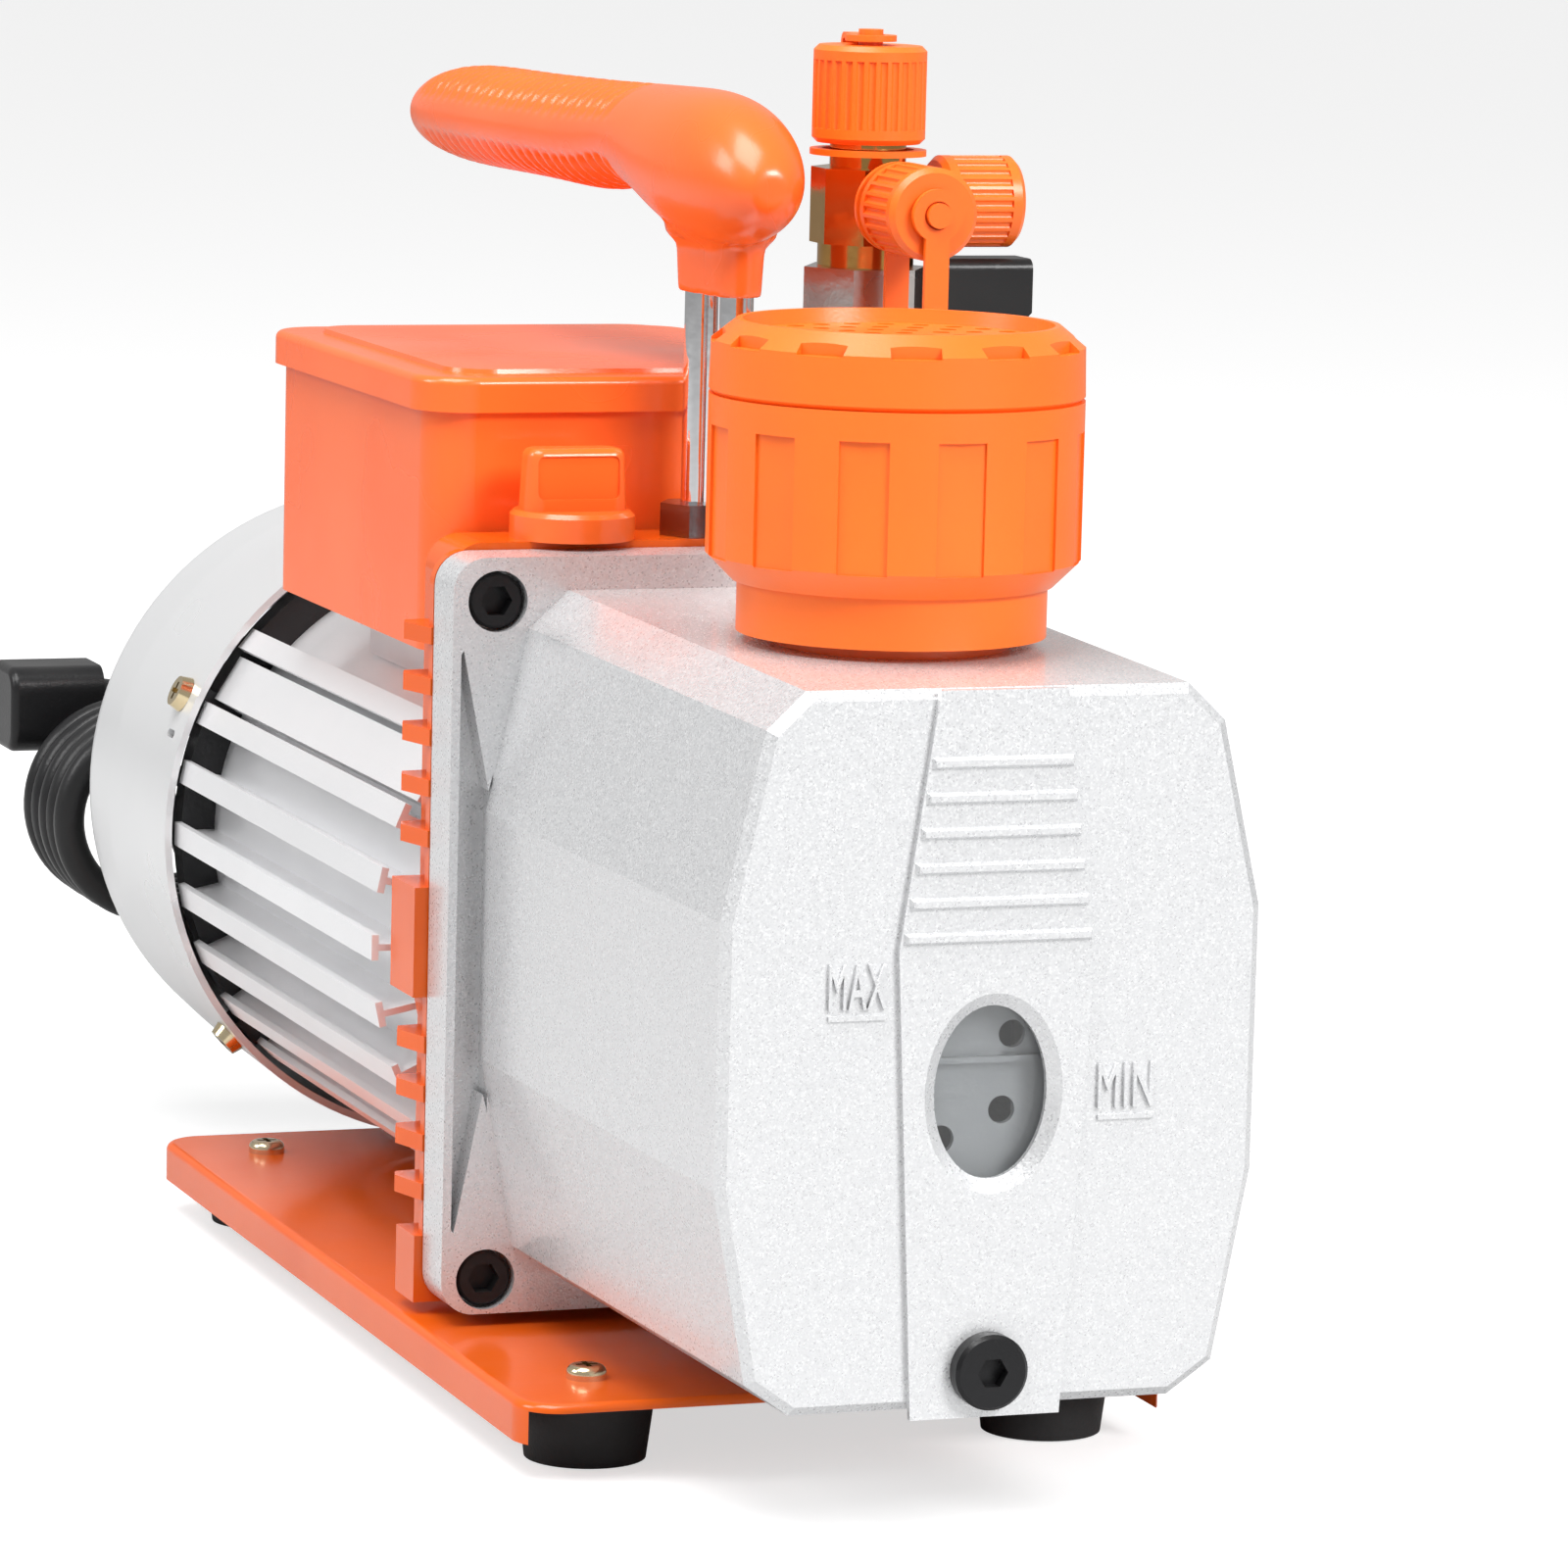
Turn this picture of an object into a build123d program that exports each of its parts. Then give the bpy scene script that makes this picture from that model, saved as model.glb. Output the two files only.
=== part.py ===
"""Single-stage rotary vane vacuum pump with direct-drive motor, oil box, exhaust filter,
isolation valve, three capped service ports and a carrying handle.

Frame: +X right, +Y back (towards the motor fan), +Z up, millimetres.
Origin: on the floor, under the middle of the pump.
"""
from build123d import *
import math
import os

os.makedirs("parts", exist_ok=True)

# ---------------------------------------------------------------- driving dimensions
# base plate and feet
plate_w = 117.6
plate_len = 241.0
plate_t = 1.5
plate_skirt = 7.3
plate_corner = 8.0
plate_lead = 61.5
foot_h = 12.0
foot_top_d = 24.0
foot_base_d = 21.0
foot_x = 42.0
foot_inset = 19.0
foot_screw_d = 3.6
foot_screw_head_d = 7.0
foot_screw_head_h = 2.4
foot_pocket_d = 9.0
foot_pocket_h = 5.0

# shaft line, bracket casting and oil box
axis_z = 76.6
joint_w = 110.2
joint_h = 134.2
joint_lift = 2.2
joint_corner = 6.0
flange_t = 11.3
gasket_t = 0.5
body_t = 15.0
body_top_rise = 1.3
box_depth = 120.8
box_wall = 4.0
box_half = (33.0, 39.6, 46.7, 46.7, 40.8, 33.1)
box_level = (142.2, 136.0, 105.3, 61.4, 29.4, 24.0)
box_draft = 1.8
strip_proud = 1.2
strip_edge = (11.0, 17.0, 13.0)
bar_count = 6
bar_pitch = 5.7
bar_h = 2.0
bar_proud = 0.9
bar_top = 130.4
bolt_x = 47.0
bolt_edge_z = 7.7
bolt_d = 6.0
bolt_head_d = 9.8
bolt_head_h = 5.6
bolt_bore_d = 10.8
bolt_bore_depth = 6.6
pocket_depth = 5.5
pocket_reach = 6.2
pocket_end = 8.2
gusset_len = 26.0
rim_t = 1.6

# sight glass and drain
glass_z = 76.1
window_w = 19.6
window_h = 28.6
recess_w = 24.0
recess_h = 33.0
glass_lip = 1.6
glass_t = 2.6
glass_seat = 2.0
baffle_t = 1.2
baffle_gap = 2.4
drain_z = 30.5
drain_head_d = 12.6
drain_head_h = 3.2
drain_thread_d = 8.0
drain_socket = 4.6
drain_seal_t = 0.9
drain_seal_w = 1.5
mark_t = 0.5
mark_w = 10.0
mark_x = 23.6
mark_rise = (-4.8, 13.1)

# pump module inside the oil box
cylinder_r = 30.0
cylinder_len = 52.0
pump_bore_r = 21.0
pump_offset = 3.4
rotor_gap = 0.3
rotor_side_gap = 0.3
end_plate_t = 8.0
vane_t = 4.0
vane_set_in = 0.3
shaft_d = 14.0
block_half = 32.0
block_corner = 9.0
gallery_r = 3.5
port_r = 3.0
gallery_side = 25.9
gallery_rise = 7.4
module_screw_at = 25.5
module_screw_d = 5.0
module_screw_bite = 7.0
fit_gap = 0.05

# exhaust filter
filter_y = -69.0
filter_gap = 1.6
neck_r = 26.0
neck_h = 9.6
filter_r = 31.4
filter_chamfer = 3.4
filter_body_h = 31.0
filter_cap_h = 12.4
filter_wall = 2.0
filter_rim_r = 27.0
filter_dish = 2.4
panel_count = 12
panel_w = 8.4
panel_depth = 0.8
notch_h = 3.8
port_thread_r = 20.0
port_bore_r = 16.5

# oil filler
filler_x = -28.1
filler_y = 17.4
filler_r = 11.1
filler_disc_h = 5.0
filler_wing_w = 18.9
filler_wing_t = 8.4
filler_wing_h = 11.0
filler_thread_r = 5.0
filler_thread_h = 9.0
filler_hole_depth = 20.0
filler_drain_r = 3.2

# handle
post_r = 3.0
post_thread_r = 2.6
rear_post = (-4.4, 18.5)
front_post = (-2.4, 5.6)
post_thread_len = 9.0
nut_af = 12.0
nut_h = 5.8
sleeve_wall = 1.3
sleeve_z = 194.6
collar_z = 203.4
collar_step = 2.6
grip_w = 24.0
grip_x = -4.0

# inlet valve, tee and caps
inlet_x = 25.9
inlet_y = 17.6
valve_thread_r = 5.0
valve_thread_len = 10.0
valve_foot_af = 20.0
valve_foot_h = 7.0
valve_r = 9.6
valve_split_z = 184.0
ball_z = 173.0
ball_r = 7.4
ball_gap = 0.3
flow_r = 4.0
stem_r = 2.5
stem_boss_r = 6.0
stem_boss_x = 13.4
valve_hex_z = 199.0
tee_af = 18.6
tee_low_z = 203.2
tee_high_z = 216.6
tee_mid_z = 210.6
collar_r = 8.6
big_thread_r = 7.9
small_thread_r = 5.55
big_neck_r = 6.8
small_neck_r = 5.0
thread_len = 11.0
big_cap_r = 10.1
small_cap_r = 8.2
big_cap_len = 17.3
small_cap_len = 16.4
cap_gap = 0.2
port_reach = 18.2
strap_t = 1.1
strap_w = 4.4
strap_gap = 0.3
strap_clear = 2.2
button_r = 2.2
button_h = 2.8
eyelet_r = 4.6

# lever of the isolation valve
lever_in = 38.2
lever_out = 56.0
lever_top = 200.6
lever_w = 11.0
lever_hub_r = 8.0

# motor
drum_r = 52.0
drum_wall = 3.0
fin_r = 60.0
fin_cap_w = 4.6
fin_cap_t = 1.3
fin_stem_t = 1.2
motor_front = 28.6
motor_rear = 165.0
rail_angle = 31.5
rail_w = 9.6
rail_r = 58.4
tie_r = 54.8
tie_d = 5.0
tie_bite = 8.0
low_rail_angle = 58.4
fin_angles = (0.0, 11.8, 23.4, 39.6)
low_fin_angles = (11.8, 23.4, 35.0, 46.6, 70.2, 82.0)
seat_half = 24.0
seat_len = 78.0
adapter_r = 53.0
tie_lug_r = 5.2
rotor_r = 27.0
air_gap = 0.6
stator_len = 62.0
stator_start = 66.0
winding_h = 13.0
bearing_r = 14.0
bearing_w = 9.0
shield_t = 6.0

# fan and cover
cover_r = 62.5
cover_back_r = 60.0
cover_t = 1.4
cover_front = 163.0
cover_rear = 240.0
cover_round = 12.0
fan_r = 52.0
fan_blades = 7
fan_start = 182.0
fan_len = 22.0
grille_rings = 5
cover_screw_y = 171.5
cover_screw_head_r = 3.6
cover_screw_head_h = 2.2

# terminal box
tbox_left = -50.5
tbox_right = 28.0
tbox_front = 28.9
tbox_rear = 131.0
tbox_floor = 129.4
tbox_rim = 172.4
tbox_wall = 2.2
tbox_corner = 8.0
lid_over = 2.0
lid_gap = 0.2
lid_top = 178.6
lid_t = 2.0
lid_panel_inset = 11.0
lid_panel_rise = 0.8
capacitor_r = 15.0
capacitor_len = 62.0
switch_x = -24.0
switch_z = 151.0
switch_w = 16.0
switch_h = 25.0
switch_wall = 1.2
rocker_gap = 0.6
rocker_pin_r = 1.2
rocker_pin_bite = 0.9
rocker_tilt = 6.0
gland_x = 14.0
gland_z = 153.0
gland_len = 15.0

# cord
cord_d = 6.4
hank_y = 246.6
hank_turns = 6
hank_left = -63.0
hank_right = 60.0
hank_low = 43.8
hank_fold = 6.0
plug_r = 10.5
plug_len = 34.0
plug_z = 84.0

# ---------------------------------------------------------------- derived places
plate_top = foot_h + plate_t
joint_low = plate_top + joint_lift
joint_high = joint_low + joint_h
body_top = joint_high + body_top_rise
front_face = -box_depth
box_front = front_face - strip_proud - drain_head_h
shift_y = -(box_front + cover_rear) / 2
body_front = flange_t + gasket_t
body_back = body_front + body_t
plate_front = -plate_lead
bolt_high = joint_high - bolt_edge_z
bolt_low = joint_low + bolt_edge_z - 1.5
box_top = box_level[0]
gallery = (gallery_side, axis_z + gallery_rise)
module_spots = [(sx * module_screw_at, axis_z + sz * module_screw_at) for sz in (-1, 1) for sx in (-1, 1)]
tie_angles = (rail_angle, 180 - rail_angle, 180 + low_rail_angle, -low_rail_angle)


def round_shaft(radius, angle):
    """Place (x, z) at an angle from +X around the shaft line."""
    return (radius * math.cos(math.radians(angle)), axis_z + radius * math.sin(math.radians(angle)))


tie_spots = [round_shaft(tie_r, angle) for angle in tie_angles]


def y_at(y):
    """Turn a distance behind the joint face of the oil box into the part's own Y."""
    return y + shift_y


def save(made, name):
    made.part.label = name
    export_step(made.part, f"parts/{name}.step")


def facing_front(y):
    """Plane across the pump at y: local x is +X, local y is +Z, normal towards the front."""
    return Plane(origin=(0, y_at(y), 0), x_dir=(1, 0, 0), z_dir=(0, -1, 0))


def shaft_plane():
    """Half plane through the shaft line: local x runs back along Y, local y is the radius."""
    return Plane(origin=(0, shift_y, axis_z), x_dir=(0, 1, 0), z_dir=(1, 0, 0))


def shaft_axis():
    return Axis((0, 0, axis_z), (0, 1, 0))


def upright_plane(x, y):
    """Plane through a vertical axis at x, y: local x is the radius, local y is Z."""
    return Plane(origin=(x, y_at(y), 0), x_dir=(1, 0, 0), z_dir=(0, -1, 0))


def upright_axis(x, y):
    return Axis((x, y_at(y), 0), (0, 0, 1))


def turned(plane, axis, outline):
    """A solid turned about an axis from one closed outline of (along, radius) corners."""
    with BuildPart() as made:
        with BuildSketch(plane):
            with BuildLine():
                Polyline(*outline, close=True)
            make_face()
        revolve(axis=axis)
    return made


def on_shaft(outline):
    return turned(shaft_plane(), shaft_axis(), outline)


def upright(x, y, outline):
    return turned(upright_plane(x, y), upright_axis(x, y), outline)


# ---------------------------------------------------------------- base plate and feet
foot_rows = (plate_front + foot_inset, plate_front + plate_len - foot_inset - 1.0)
foot_spots = [(sx * foot_x, y_at(y)) for y in foot_rows for sx in (-1, 1)]
plate_mid_y = y_at(plate_front + plate_len / 2)
body_bolt_spots = [(sx * 30.0, y_at(body_front + body_t / 2)) for sx in (-1, 1)]
body_bolt_d = 6.0
body_bolt_len = 14.0

with BuildPart() as base_plate:
    with BuildSketch(Plane.XY.offset(plate_top)):
        with Locations((0, plate_mid_y)):
            RectangleRounded(plate_w, plate_len, plate_corner)
    extrude(amount=-plate_skirt)
    fillet(base_plate.faces().sort_by(Axis.Z)[-1].edges(), radius=plate_t)
    with Locations((0, plate_mid_y, plate_top - plate_t)):
        Box(plate_w - 2 * plate_t, plate_len + 2, plate_skirt, align=(Align.CENTER, Align.CENTER, Align.MAX),
            mode=Mode.SUBTRACT)
    with Locations(*[(x, y, plate_top) for x, y in foot_spots]):
        Hole(radius=foot_screw_d / 2 + 0.2, depth=plate_t)
    with Locations(*[(x, y, plate_top) for x, y in body_bolt_spots]):
        Hole(radius=body_bolt_d / 2 + 0.2, depth=plate_t)
save(base_plate, "base_plate")

with BuildPart() as rubber_feet:
    with Locations(*[(x, y, 0) for x, y in foot_spots]):
        Cone(foot_base_d / 2, foot_top_d / 2, foot_h, align=(Align.CENTER, Align.CENTER, Align.MIN))
    with Locations(*[(x, y, foot_h) for x, y in foot_spots]):
        Hole(radius=foot_screw_d / 2, depth=foot_h)
    with Locations(*[(x, y, 0) for x, y in foot_spots]):
        Cylinder(foot_pocket_d / 2, foot_pocket_h, align=(Align.CENTER, Align.CENTER, Align.MIN),
                 mode=Mode.SUBTRACT)
save(rubber_feet, "rubber_feet")


def cross_slot(size, depth):
    """Phillips recess cut at the current locations, going down from their plane."""
    Box(size, size / 4, depth, align=(Align.CENTER, Align.CENTER, Align.MAX), mode=Mode.SUBTRACT)
    Box(size / 4, size, depth, align=(Align.CENTER, Align.CENTER, Align.MAX), mode=Mode.SUBTRACT)


with BuildPart() as foot_screws:
    head_top = plate_top + foot_screw_head_h
    with Locations(*[(x, y, plate_top) for x, y in foot_spots]):
        Cylinder(foot_screw_head_d / 2, foot_screw_head_h, align=(Align.CENTER, Align.CENTER, Align.MIN))
    rims = foot_screws.edges().filter_by(GeomType.CIRCLE).filter_by(lambda e: e.center().Z > head_top - 0.1)
    fillet(rims, radius=foot_screw_head_h * 0.6)
    with Locations(*[(x, y, plate_top) for x, y in foot_spots]):
        Cylinder(foot_screw_d / 2, foot_h - foot_pocket_h + plate_t + 2.4,
                 align=(Align.CENTER, Align.CENTER, Align.MAX))
    with Locations(*[(x, y, head_top) for x, y in foot_spots]):
        cross_slot(foot_screw_head_d * 0.55, foot_screw_head_h * 0.6)
save(foot_screws, "foot_screws")

with BuildPart() as body_bolts:
    with Locations(*[(x, y, foot_h) for x, y in body_bolt_spots]):
        Cylinder(bolt_head_d / 2, 4.0, align=(Align.CENTER, Align.CENTER, Align.MAX))
        Cylinder(body_bolt_d / 2, body_bolt_len, align=(Align.CENTER, Align.CENTER, Align.MIN))
save(body_bolts, "body_bolts")


# ---------------------------------------------------------------- oil box
def box_outline(grow):
    """Twelve-sided section of the oil box, grown outwards by a margin."""
    right = [(half + grow, level) for half, level in zip(box_half, box_level)]
    right[0] = (box_half[0] + grow * 0.6, box_level[0] + grow)
    right[1] = (box_half[1] + grow * 0.9, box_level[1] + grow * 0.8)
    right[4] = (box_half[4] + grow * 0.9, box_level[4] - grow * 0.8)
    right[5] = (box_half[5] + grow * 0.6, box_level[5] - grow)
    left = [(-half, level) for half, level in reversed(right)]
    return right + left


strip_top = box_level[0]
strip_low = box_level[5]
strip_corners = [
    (-strip_edge[0], strip_top), (strip_edge[0], strip_top), (strip_edge[1], 100.0),
    (strip_edge[2], strip_low - 1.4), (-strip_edge[2], strip_low - 1.4), (-strip_edge[1], 100.0),
]
bolt_spots = [(sx * bolt_x, z) for z in (bolt_low, bolt_high) for sx in (-1, 1)]


def strip_half(z):
    """Half width of the raised strip at a height between its top and its widest level."""
    return strip_edge[0] + (strip_edge[1] - strip_edge[0]) * (strip_top - z) / (strip_top - 100.0)


def gusset_outline(sx, base_z, tip_z):
    """Triangle that runs from a corner boss along the box wall to a point."""
    wall_x = box_half[2] + box_draft - 0.4
    return [(sx * (joint_w / 2 - rim_t - 0.2), base_z), (sx * wall_x, tip_z), (sx * (bolt_x - 6.0), base_z)]


with BuildPart() as oil_box:
    with BuildSketch(facing_front(0)):
        with Locations((0, (joint_low + joint_high) / 2)):
            RectangleRounded(joint_w, joint_h, joint_corner)
    extrude(amount=-flange_t)
    for sx in (-1, 1):
        with BuildSketch(facing_front(0)):
            with Locations((sx * (joint_w / 2 - rim_t - pocket_reach / 2), (bolt_low + bolt_high) / 2)):
                RectangleRounded(pocket_reach, bolt_high - bolt_low - 2 * pocket_end, 1.4)
        extrude(amount=-pocket_depth, mode=Mode.SUBTRACT)
    for sx in (-1, 1):
        for end_z, run in ((bolt_high, -1), (bolt_low, 1)):
            base_z = end_z + run * (pocket_end - 1.0)
            tip_z = base_z + run * gusset_len
            with BuildSketch(facing_front(pocket_depth)):
                with BuildLine():
                    Polyline(*gusset_outline(sx, base_z, tip_z), close=True)
                make_face()
            extrude(amount=pocket_depth)
    with BuildSketch(facing_front(0)):
        with BuildLine():
            Polyline(*box_outline(box_draft), close=True)
        make_face()
    with BuildSketch(facing_front(front_face)):
        with BuildLine():
            Polyline(*box_outline(0), close=True)
        make_face()
    loft()
    chamfer(oil_box.faces().sort_by(Axis.Y)[0].edges(), length=1.6)
    with BuildSketch(facing_front(front_face)):
        with BuildLine():
            Polyline(*strip_corners, close=True)
        make_face()
    extrude(amount=strip_proud)
    with BuildSketch(facing_front(front_face - strip_proud)):
        for step in range(bar_count):
            with Locations((0, bar_top - step * bar_pitch)):
                Rectangle(2 * strip_half(bar_top - step * bar_pitch) - 0.8, bar_h)
    extrude(amount=bar_proud, taper=30)
    with BuildSketch(facing_front(flange_t)):
        with BuildLine():
            Polyline(*box_outline(box_draft - box_wall), close=True)
        make_face()
    with BuildSketch(facing_front(front_face + box_wall + 2.0)):
        with BuildLine():
            Polyline(*box_outline(-box_wall), close=True)
        make_face()
    loft(mode=Mode.SUBTRACT)
    with BuildSketch(facing_front(front_face + box_wall + 4.0)):
        with Locations((0, glass_z)):
            Ellipse(recess_w / 2 + 4.0, recess_h / 2 + 4.0)
        with Locations((0, drain_z)):
            Circle(drain_thread_d / 2 + 4.5)
    extrude(amount=3.0)
    with BuildSketch(facing_front(front_face - strip_proud)):
        with Locations((0, glass_z)):
            Ellipse(recess_w / 2, recess_h / 2)
    with BuildSketch(facing_front(front_face - strip_proud + glass_lip)):
        with Locations((0, glass_z)):
            Ellipse(window_w / 2, window_h / 2)
    loft(mode=Mode.SUBTRACT)
    with BuildSketch(facing_front(front_face - strip_proud + glass_lip)):
        with Locations((0, glass_z)):
            Ellipse(window_w / 2, window_h / 2)
    extrude(amount=-20, mode=Mode.SUBTRACT)
    with BuildSketch(facing_front(front_face - strip_proud + glass_lip + 1.0)):
        with Locations((0, glass_z)):
            Ellipse(window_w / 2 + glass_seat, window_h / 2 + glass_seat)
    extrude(amount=-20, mode=Mode.SUBTRACT)
    with BuildSketch(facing_front(front_face - strip_proud)):
        with Locations((0, drain_z)):
            Circle(drain_thread_d / 2)
    extrude(amount=-20, mode=Mode.SUBTRACT)
    with BuildSketch(facing_front(0)):
        with Locations(*bolt_spots):
            Circle(bolt_d / 2 + 0.3)
    extrude(amount=-flange_t, mode=Mode.SUBTRACT)
    with BuildSketch(facing_front(0)):
        with Locations(*bolt_spots):
            Circle(bolt_bore_d / 2)
    extrude(amount=-bolt_bore_depth, mode=Mode.SUBTRACT)
    with BuildSketch(Plane.XY.offset(box_top + box_draft)):
        with Locations((0, y_at(filter_y))):
            Circle(port_thread_r)
    extrude(amount=-box_wall * 3, mode=Mode.SUBTRACT)
    with BuildSketch(Plane.XY.offset(joint_high)):
        with Locations((front_post[0], y_at(front_post[1]))):
            Circle(post_thread_r)
    extrude(amount=-post_thread_len, mode=Mode.SUBTRACT)
    for sx, rise in ((-1, mark_rise[1]), (1, mark_rise[0])):
        with BuildSketch(facing_front(front_face)):
            with Locations((sx * mark_x, glass_z + rise)):
                Rectangle(mark_w, 0.8)
        extrude(amount=mark_t)
save(oil_box, "oil_box")

with BuildPart() as oil_box_gasket:
    with BuildSketch(facing_front(flange_t)):
        with Locations((0, (joint_low + joint_high) / 2)):
            RectangleRounded(joint_w - 1.0, joint_h - 1.0, joint_corner)
        with BuildLine():
            Polyline(*box_outline(box_draft - box_wall), close=True)
        make_face(mode=Mode.SUBTRACT)
        with Locations(*bolt_spots):
            Circle(bolt_d / 2 + 0.4, mode=Mode.SUBTRACT)
    extrude(amount=-gasket_t)
save(oil_box_gasket, "oil_box_gasket")

bolt_seat = bolt_bore_depth
with BuildPart() as oil_box_bolts:
    with BuildSketch(facing_front(bolt_seat)):
        with Locations(*bolt_spots):
            Circle(bolt_head_d / 2)
    extrude(amount=bolt_head_h)
    rims = oil_box_bolts.edges().filter_by(GeomType.CIRCLE).group_by(Axis.Y)[0]
    chamfer(rims, length=0.5)
    with BuildSketch(facing_front(bolt_seat)):
        with Locations(*bolt_spots):
            Circle(bolt_d / 2)
    extrude(amount=-(flange_t - bolt_seat + gasket_t + 10.0))
    with BuildSketch(facing_front(bolt_seat - bolt_head_h)):
        with Locations(*bolt_spots):
            RegularPolygon(5.0 / math.sqrt(3), 6)
    extrude(amount=-3.0, mode=Mode.SUBTRACT)
save(oil_box_bolts, "oil_box_bolts")

glass_front = front_face - strip_proud + glass_lip + 1.0
with BuildPart() as sight_glass:
    with BuildSketch(facing_front(glass_front)):
        with Locations((0, glass_z)):
            Ellipse(window_w / 2 + glass_seat, window_h / 2 + glass_seat)
    extrude(amount=-glass_t)
save(sight_glass, "sight_glass")

baffle_front = glass_front + glass_t + baffle_gap
with BuildPart() as sight_glass_baffle:
    with BuildSketch(facing_front(baffle_front)):
        with Locations((0, glass_z)):
            Ellipse(window_w / 2 + glass_seat, window_h / 2 + glass_seat)
        with Locations((-7.0, glass_z + 12.5), (5.5, glass_z + 8.5), (4.0, glass_z - 4.0), (-6.5, glass_z - 8.5)):
            Circle(2.3, mode=Mode.SUBTRACT)
    extrude(amount=-baffle_t)
    with BuildSketch(facing_front(baffle_front)):
        with Locations((0, glass_z + 4.6)):
            Rectangle(window_w, 1.0)
    extrude(amount=baffle_gap / 2)
save(sight_glass_baffle, "sight_glass_baffle")

with BuildPart() as drain_plug:
    with BuildSketch(facing_front(front_face - strip_proud)):
        with Locations((0, drain_z)):
            Circle(drain_head_d / 2)
    extrude(amount=drain_head_h)
    chamfer(drain_plug.edges().filter_by(GeomType.CIRCLE).group_by(Axis.Y)[0], length=0.6)
    with BuildSketch(facing_front(front_face - strip_proud)):
        with Locations((0, drain_z)):
            Circle(drain_thread_d / 2 - fit_gap)
    extrude(amount=-10.0)
    with BuildSketch(facing_front(front_face - strip_proud - drain_head_h)):
        with Locations((0, drain_z)):
            RegularPolygon(drain_socket / math.sqrt(3), 6)
    extrude(amount=-2.4, mode=Mode.SUBTRACT)
    with BuildSketch(facing_front(front_face - strip_proud)):
        with Locations((0, drain_z)):
            Circle(drain_thread_d / 2 + drain_seal_w)
            Circle(drain_thread_d / 2 - fit_gap, mode=Mode.SUBTRACT)
    extrude(amount=drain_seal_t, mode=Mode.SUBTRACT)
save(drain_plug, "drain_plug")

# ---------------------------------------------------------------- bracket casting
rib_levels = (134.8, 125.8, 116.8, 107.8, 98.8, 62.0, 53.2, 44.4, 35.6)
seal_bore_r = 11.0
seal_w = 7.0
side_block_z = 80.4
side_block_h = 19.6
side_block_out = 5.0
hub_r = 20.0
spigot_r = drum_r - drum_wall - 0.05
spigot_len = 4.0
inlet_bore_r = 6.0
bearing_seat_front = body_back - 1.0
ring_front = body_back - 7.0

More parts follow.
